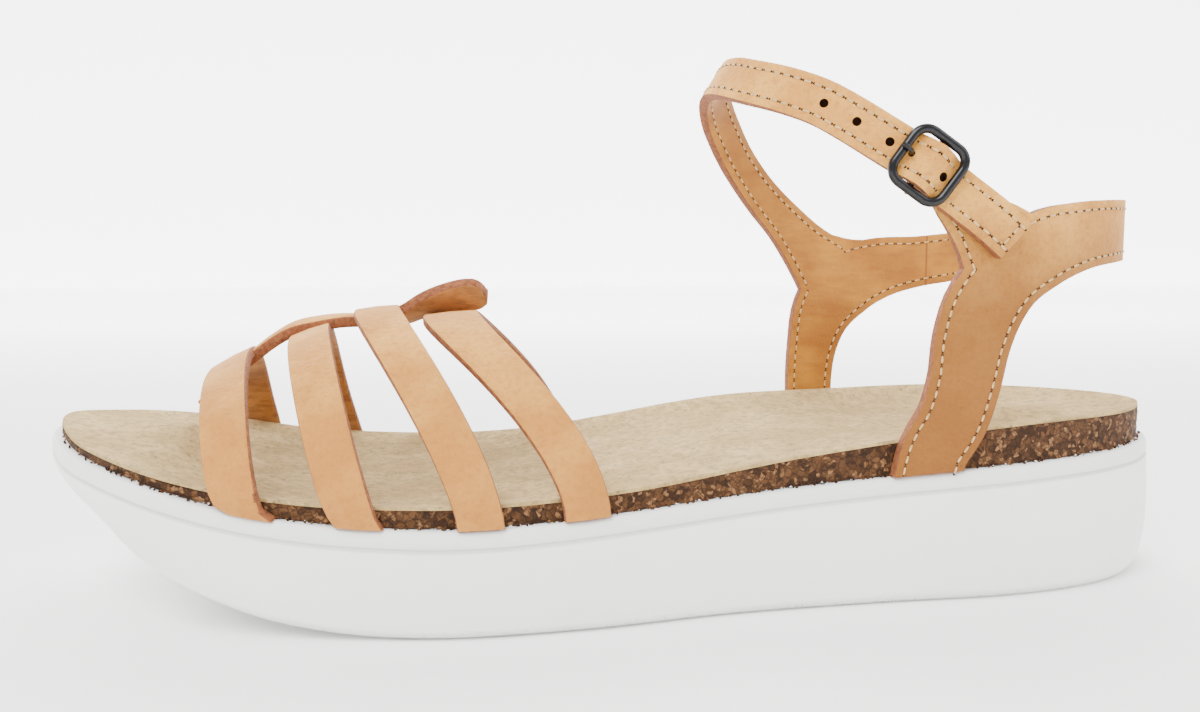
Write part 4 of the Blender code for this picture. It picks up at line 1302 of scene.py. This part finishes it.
def hole_solids():
    """The strap's punched holes, blind from the outside: one past the buckle, three before it."""
    bm = bmesh.new()
    centre, ahead = buckle_axis()
    for past in [PRONG_HOLE + HOLE_PITCH] + [PRONG_HOLE - HOLE_LEAD - HOLE_PITCH * i for i in range(3)]:
        along = centre.x + ahead.x * past
        height = float(smooth(STRAP_ROWS, 1, along))
        inner = wrapped(along, height, strap_level(past) - QUARTER_WALL)
        outer = wrapped(along, height, strap_level(past) + QUARTER_WALL)
        axis = outer - inner
        turn = axis.to_track_quat("Z", "Y").to_matrix().to_4x4()
        at = Matrix.Translation((inner + outer) / 2 + axis * HOLE_OUTWARD)
        radii = {"radius1": HOLE_WIDTH / 2, "radius2": HOLE_WIDTH / 2}
        bmesh.ops.create_cone(bm, cap_ends=True, segments=24, depth=axis.length, matrix=at @ turn, **radii)
    return guide("strap_hole_cutter", bm)


def build_quarters(settings):
    """The two quarters with the ankle strap, wrapped from their flat patterns."""
    for node, slab, place in (
        ("quarter_lateral", leather_slab(*quarter_outlines()), outer_place),
        ("ankle_strap", leather_slab(inner_outlines()), inner_place),
    ):
        for vert in slab.verts:
            vert.co = place(vert.co.x, vert.co.y, vert.co.z / QUARTER_WALL)
        bmesh.ops.recalc_face_normals(slab, faces=slab.faces)
        made = finished(slab, f"{node}_leather", *LEATHERS)
        # The prong's slot is cut with the dark finish, painted shade inside it
        cutters = [guide("prong_slot_cutter", wire(prong_route(), PRONG_WIRE + CUTTER_WIDER))]
        if place is inner_place:
            cutters.append(hole_solids())
        cut(made, cutters)
        shown(made, "leather", node)


def edge_lines(rows, inset, square):
    """The two lines that stitching follows in a strip of the pattern, inset from its edges."""
    outline = ribbon([(*row[:2], row[2] - 2 * inset) for row in rows], PATTERN_STEP / 2, square)
    half = len(outline) // 2
    return [outline[:half], outline[half:][::-1]]


def evenly(line, pitch):
    """Places an even pitch apart along a line."""
    run = np.concatenate([[0.0], np.cumsum(np.linalg.norm(np.diff(line, axis=0), axis=1))])
    count = int(run[-1] / pitch)
    at = (np.arange(count) + 0.5) * run[-1] / max(count, 1)
    return np.stack([np.interp(at, run, line[:, 0]), np.interp(at, run, line[:, 1])], 1)


def stitch(threads, holes, place, side, point, ahead, settings):
    """One stitch on a face of the leather, and the needle hole at each of its ends."""
    length, thick = settings.stitch_length, settings.thread_width
    first, last = (place(*(point + way * ahead * length / 2), side / 2) for way in (-1, 1))
    centre = place(*point, side / 2)
    out = (centre - place(*point, 0.0)).normalized()
    along = last - first
    if along.length < 1e-5:
        return
    run = along.normalized()
    turn = Matrix((run, out.cross(run).normalized(), out)).transposed().to_4x4()
    long_half = (along.length / 2, thick / 2, thick * THREAD_FLAT)
    spheres = [(threads, 5, centre + out * thick * THREAD_RAISED, long_half)]
    # The blobs at the ends are painted shade of the needle holes
    for end in (first, last):
        spheres.append((holes, 4, end - out * thick * NEEDLE_SUNK, Vector(NEEDLE_HOLE_SHADE) * thick))
    for bm, rows, at, half_sizes in spheres:
        where = Matrix.Translation(at) @ turn @ Matrix.Diagonal((*half_sizes, 1.0))
        bmesh.ops.create_uvsphere(bm, u_segments=8, v_segments=rows, radius=1.0, matrix=where)


def joined(total, part):
    """Moves what one bmesh holds into another."""
    mesh = bpy.data.meshes.new("line")
    part.to_mesh(mesh)
    part.free()
    total.from_mesh(mesh)
    bpy.data.meshes.remove(mesh)


def stitched(totals, lines, outlines, place, settings):
    """Sews both faces along one piece's lines, leaving out what lies deep inside another of its strips."""
    for side, (k, line) in itertools.product((1, -1), lines):
        parts = bmesh.new(), bmesh.new()
        points = evenly(line, settings.stitch_pitch)
        kept = np.ones(len(points), bool)
        for j, outline in enumerate(outlines):
            if j != k:
                deep = clear_of(points, outline, settings.stitch_inset * STITCHES_MEET)
                kept &= ~(inside(points, outline) & deep)
        ends = evenly(line, LINE_STEP)
        for point in points[kept]:
            near = ends[np.argsort(np.linalg.norm(ends - point, axis=1))[:2]]
            ahead = near[1] - near[0]
            ahead = ahead / max(np.linalg.norm(ahead), 1e-9)
            stitch(*parts, place, side, point, ahead, settings)
        for total, part in zip(totals, parts):
            joined(total, part)


def build_stitches(settings):
    """The cream thread and the needle holes round the quarters and the strap, as two joined meshes."""
    totals = bmesh.new(), bmesh.new()
    inset = settings.stitch_inset
    lines = [(0, line) for line in edge_lines(pattern(OUTER_LEG), inset, True)]
    lines += [(1, line) for line in edge_lines(pattern(OUTER_ARM), inset, False)]
    stitched(totals, lines, quarter_outlines()[0][:2], outer_place, settings)
    lines = [(0, line) for line in edge_lines(pattern(INNER_LEG), inset, True)]
    strap = edge_lines(STRAP_ROWS, inset, False)
    lines += [(1, line) for line in strap]
    across = np.array([strap[0][-1], strap[1][-1]])
    step = strap[0][-1] - strap[0][-3]
    lines.append((1, across - step / np.linalg.norm(step) * inset * LAST_ROW_BACK))
    stitched(totals, lines, inner_outlines(), inner_place, settings)
    shown(finished(totals[0], "stitches_thread", "thread"), "leather")
    shown(finished(totals[1], "stitches_needle_hole_shade", "needle hole"), "leather")


def build_buckle(settings):
    """The frame with its bar, and the prong, as round polished wire."""
    corner = BUCKLE_CORNER - BUCKLE_WIRE / 2
    points = []
    for quarter, (way_along, way_across) in enumerate(((1, 1), (-1, 1), (-1, -1), (1, -1))):
        for step in range(11):
            turn = math.radians(90 * quarter + 9 * step)
            past = way_along * (BUCKLE_HALF - corner) + corner * math.cos(turn)
            across = way_across * (BUCKLE_SIDE - corner) + corner * math.sin(turn)
            points.append(at_buckle(past, across, FRAME_LEVEL))
    drop = (FRAME_LEVEL - BAR_LEVEL) * BAR_BEND
    bar = []
    for way in (-1, 1):
        post = [(way * BUCKLE_SIDE, FRAME_LEVEL), (way * BUCKLE_SIDE, BAR_LEVEL + drop)]
        post.append((way * (BUCKLE_SIDE - drop), BAR_LEVEL))
        bar += post if way < 0 else post[::-1]
    route = [at_buckle(0.0, across, level) for across, level in bar]
    for name, solid, nodes in (
        ("buckle_frame_metal", wire(points, BUCKLE_WIRE, True, 6), ("buckle_frame",)),
        ("buckle_bar_metal", wire(route, BAR_WIRE, False, 5), ()),
        ("buckle_prong_metal", wire(prong_route(), PRONG_WIRE, False, 5), ("buckle_prong",)),
    ):
        shown(finished(solid, name, "black metal"), "buckle", *nodes)


def build_sole(settings):
    """The foam platform, finely lofted, with its tread cut in and its heights noted for the finish."""
    rings = []
    for reach in TREAD_REACHES:
        rings.append(ring(lambda side, s: underside(s), 0.0, reach, 1.0))
    for i in range(int(SIDE_TOP * SIDE_ROWS) + 1):
        share = i / SIDE_ROWS
        out = float(smooth(SOLE_SIDE, 1, share))

        def wall(side, station, share=share):
            low, high = underside(station), sole_top(station) - SHOULDER_BAND
            return low + (high - low) * share

        rings.append(ring(wall, out * SOLE_FLARE, 1.0, 1 - ease(share)))
    for band, groove, flare, back in SHOULDER:
        drop = SHOULDER_BAND * band + SHOULDER_GROOVE * groove
        out = SOLE_FLARE * flare + SHOULDER_GROOVE * back
        rings.append(ring(lambda side, s, d=drop: sole_top(s) - d, out))
    for reach in BED_REACHES[-2::-1]:
        rings.append(ring(lambda side, s, r=reach: bed(s, r), 0.0, reach))
    bm = lofted(rings, foot_cap)
    made = finished(bm, "sole_foam", "foam rubber")
    cut(made, [tread_grooves()])
    above, below = [], []
    for vert in made.data.vertices:
        station = min(max(0.5 - (vert.co.x - ORIGIN_SHIFT.x) / FOOTBED_LENGTH, 0.0), 1.0)
        above.append(vert.co.z - float(underside(station)))
        below.append(float(sole_top(station)) - vert.co.z)
    for name, values in (("above_tread", above), ("below_top", below)):
        made.data.attributes.new(name, "FLOAT", "POINT").data.foreach_set("value", values)
    shown(made, "sole", "sole")


def tread_grooves():
    """The grooves between the bars across the tread, which leave the waist plain."""
    bm = bmesh.new()
    count = int((TREAD_LAST - TREAD_FIRST) * FOOTBED_LENGTH / TREAD_PITCH)
    for i in range(count + 1):
        station = TREAD_FIRST + i * TREAD_PITCH / FOOTBED_LENGTH
        if WAIST_FIRST < station < WAIST_LAST:
            continue
        along = station_x(station) + float(undercut(station))
        low, high = edge(LATERAL, station), edge(MEDIAL, station)
        step = 0.01
        rise = underside(station + step) - underside(station - step)
        slope = math.atan2(rise, 2 * step * FOOTBED_LENGTH)
        width = float(high - low) - 2 * TREAD_MARGIN
        groove = bmesh.ops.create_cube(bm, size=1.0)["verts"]
        bmesh.ops.scale(bm, vec=(TREAD_GROOVE, width, 2 * TREAD_DEPTH), verts=groove)
        bmesh.ops.rotate(bm, verts=groove, cent=(0, 0, 0), matrix=Matrix.Rotation(slope, 3, "Y"))
        centre = Vector((along, float(low + high) / 2, float(underside(station))))
        bmesh.ops.translate(bm, vec=centre, verts=groove)
    return guide("tread_cutter", bm, "foam rubber")


def build_cork(settings):
    """The cork, rough on its side, where grains stand out and are torn away."""
    chance = random.Random(settings.seed)
    top = dish_rings(lambda reach: insole_depth(reach) + SEAM, DISH_REACHES, 0.0)
    under = []
    for reach in BED_REACHES:
        under.append(ring(lambda side, s, r=reach: bed(s, r) + GAP, 0.0, reach))
    walls = []
    for row in range(1, CORK_ROWS):
        points = [low.lerp(high, row / CORK_ROWS) for low, high in zip(under[-1], top[-1])]
        walls.append(points)
        for i, point in enumerate(points):
            away = (points[(i + 1) % len(points)] - points[i - 1]).cross(Vector((0, 0, 1))).normalized()
            away = away if away.dot(Vector((point.x * 0.25, point.y, 0))) > 0 else -away
            points[i] = point + away * (chance.uniform(*CORK_STANDING) * CORK_ROUGH)
    bm = lofted(under + walls + top[::-1], foot_cap)
    shown(finished(bm, "cork_footbed_cork", "cork", smooth_angle=BED_ANGLE), "cork", "cork_footbed")


def build_insole(settings):
    """The suede insole in the dish of the cork."""
    top = dish_rings(lambda reach: 0.0, DISH_REACHES, -SEAM)
    under = dish_rings(insole_depth, DISH_REACHES, -SEAM)
    bm = lofted(under + top[::-1], foot_cap)
    shown(finished(bm, "insole_suede", "suede", smooth_angle=BED_ANGLE), "suede", "insole")


def build_crumbs(settings):
    """Crumbs of cork, glue and foam along the joint over the sole, as one joined mesh each."""
    chance = random.Random(settings.seed + 1)
    for name, finish, count, size in (
        ("cork_crumbs", "cork", settings.crumbs, CRUMB_SIZE),
        ("glue_crumbs", "foam rubber", settings.crumbs // 2, GLUE_SIZE),
    ):
        bm = bmesh.new()
        for _ in range(count):
            side = chance.choice((LATERAL, MEDIAL))
            station = chance.uniform(*CRUMB_STATIONS)
            corner, away = cork_corner(side, station), outward(side, station)
            at = corner + away * chance.uniform(*CRUMB_OUT) + Vector((0, 0, chance.uniform(0.0, CRUMB_HIGH)))
            squash = Matrix.Diagonal([size * chance.uniform(*CRUMB_SQUASH) for _ in range(3)] + [1.0])
            turn = Matrix.Rotation(chance.uniform(0, math.tau), 4, "Z")
            where = Matrix.Translation(at) @ turn @ squash
            bmesh.ops.create_icosphere(bm, subdivisions=1, radius=1.0, matrix=where)
        shown(finished(bm, name, finish), "cork")


def paper(name, matrix, shader):
    """A large sheet of softly mottled paper."""
    shader.base(shader.noise(PAPER_MOTTLE), PAPER_DEEP, PAPER_PALE)
    bm = bmesh.new()
    bmesh.ops.create_grid(bm, x_segments=1, y_segments=1, size=PAPER_SIZE, matrix=matrix)
    placed(bm, name, shader.finish(), shift=(0.0, 0.0, 0.0))


def build_stage(settings):
    """The floor, the lights and the camera at the photo's angle."""
    scene = bpy.context.scene
    upright = Matrix.Translation((0.0, BACKDROP_PLACE, 0.0)) @ Matrix.Rotation(math.radians(90), 4, "X")
    glowing = {"Roughness": 0.9, "Emission_Color": WHITE}
    floor = Shader("paper", Specular_IOR_Level=0.1, **glowing)
    # Painted light: the floor glows faintly under the sandal and more towards the backdrop
    fade = floor.along("Y", *FLOOR_FADE, FLOOR_LIGHT, BACKDROP_LIGHT)
    floor.feed(floor.surface, "Emission Strength", fade)
    paper("floor", Matrix(), floor)
    paper("backdrop", upright, Shader("lit paper", Emission_Strength=BACKDROP_LIGHT, **glowing))
    world = bpy.data.worlds.new("studio")
    world.use_nodes = True
    background = world.node_tree.nodes["Background"]
    background.inputs["Color"].default_value = WHITE
    background.inputs["Strength"].default_value = settings.world_light
    scene.world = world
    for name, place, size, power in LIGHTS:
        light = bpy.data.lights.new(name, "AREA")
        light.shape = "RECTANGLE"
        light.size, light.size_y = size
        light.energy = power
        lamp = bpy.data.objects.new(name, light)
        lamp.location = place
        lamp.rotation_euler = (Vector(LIGHT_AIM) - Vector(place)).to_track_quat("-Z", "Y").to_euler()
        scene.collection.objects.link(lamp)
    camera = bpy.data.cameras.new("camera")
    camera.sensor_width = SENSOR_WIDTH
    camera.lens = settings.lens
    camera.clip_start = NEAREST_SEEN
    holder = bpy.data.objects.new("camera", camera)
    turn, tip = math.radians(CAMERA_TURN), math.radians(CAMERA_TIP)
    ahead = Vector((-math.sin(turn) * math.cos(tip), math.cos(turn) * math.cos(tip), -math.sin(tip)))
    holder.location = Vector(CAMERA_PLACE) + ORIGIN_SHIFT
    holder.rotation_euler = ahead.to_track_quat("-Z", "Y").to_euler()
    scene.collection.objects.link(holder)
    scene.camera = holder


class SandalSettings(bpy.types.PropertyGroup):
    strap_steps: bpy.props.IntProperty(name="Strap steps", description="Steps along each strap", default=72)
    stitch_pitch: bpy.props.FloatProperty(
        name="Stitch pitch", description="Distance from stitch to stitch", default=0.0024, unit="LENGTH"
    )
    stitch_length: bpy.props.FloatProperty(
        name="Stitch length", description="Length of thread that shows", default=0.0018, unit="LENGTH"
    )
    stitch_inset: bpy.props.FloatProperty(
        name="Stitch inset", description="From the edge to the stitching", default=0.0019, unit="LENGTH"
    )
    thread_width: bpy.props.FloatProperty(
        name="Thread width", description="Width of the thread", default=0.00046, unit="LENGTH"
    )
    crumbs: bpy.props.IntProperty(name="Crumbs", description="Crumbs along the joint", default=420)
    seed: bpy.props.IntProperty(name="Seed", description="Start of the random draws", default=7)
    world_light: bpy.props.FloatProperty(name="World light", description="Strength of the sky", default=1.15)
    lens: bpy.props.FloatProperty(
        name="Lens", description="The camera's focal length", default=30.92, subtype="DISTANCE_CAMERA"
    )


def operator(name, label, text, build):
    """One operator that builds a group of pieces."""

    def execute(self, context):
        build(context.scene.sandal)
        return {"FINISHED"}

    body = {"bl_idname": f"sandal.{name}", "bl_label": label, "__doc__": text, "execute": execute}
    return type(f"SANDAL_OT_{name}", (bpy.types.Operator,), body)


STEPS = (
    # name, label, what it does, its function
    ("sole", "Sole", "Build the foam platform", build_sole),
    ("cork", "Cork footbed", "Build the cork footbed", build_cork),
    ("insole", "Insole", "Build the suede insole", build_insole),
    ("crumbs", "Crumbs", "Scatter crumbs along the joint", build_crumbs),
    ("vamp", "Vamp", "Build the woven straps", build_vamp),
    ("quarters", "Quarters", "Build the quarters and the ankle strap", build_quarters),
    ("stitches", "Stitches", "Sew the quarters and the strap", build_stitches),
    ("buckle", "Buckle", "Build the buckle", build_buckle),
    ("stage", "Stage", "Set the floor, lights and camera", build_stage),
)
OPERATORS = tuple(operator(*step) for step in STEPS)


class SANDAL_PT_panel(bpy.types.Panel):
    bl_label = "Cork footbed sandal"
    bl_idname = "SANDAL_PT_panel"
    bl_space_type = "VIEW_3D"
    bl_region_type = "UI"
    bl_category = "Sandal"

    def draw(self, context):
        layout = self.layout
        for name in SandalSettings.__annotations__:
            layout.prop(context.scene.sandal, name)
        for step in STEPS:
            layout.operator(f"sandal.{step[0]}")


CLASSES = (SandalSettings, *OPERATORS, SANDAL_PT_panel)


def register():
    for each in CLASSES:
        bpy.utils.register_class(each)
    bpy.types.Scene.sandal = bpy.props.PointerProperty(type=SandalSettings)


def unregister():
    del bpy.types.Scene.sandal
    for each in reversed(CLASSES):
        bpy.utils.unregister_class(each)


def main():
    register()
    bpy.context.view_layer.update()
    for step in STEPS:
        getattr(bpy.ops.sandal, step[0])()


if __name__ == "__main__":
    main()
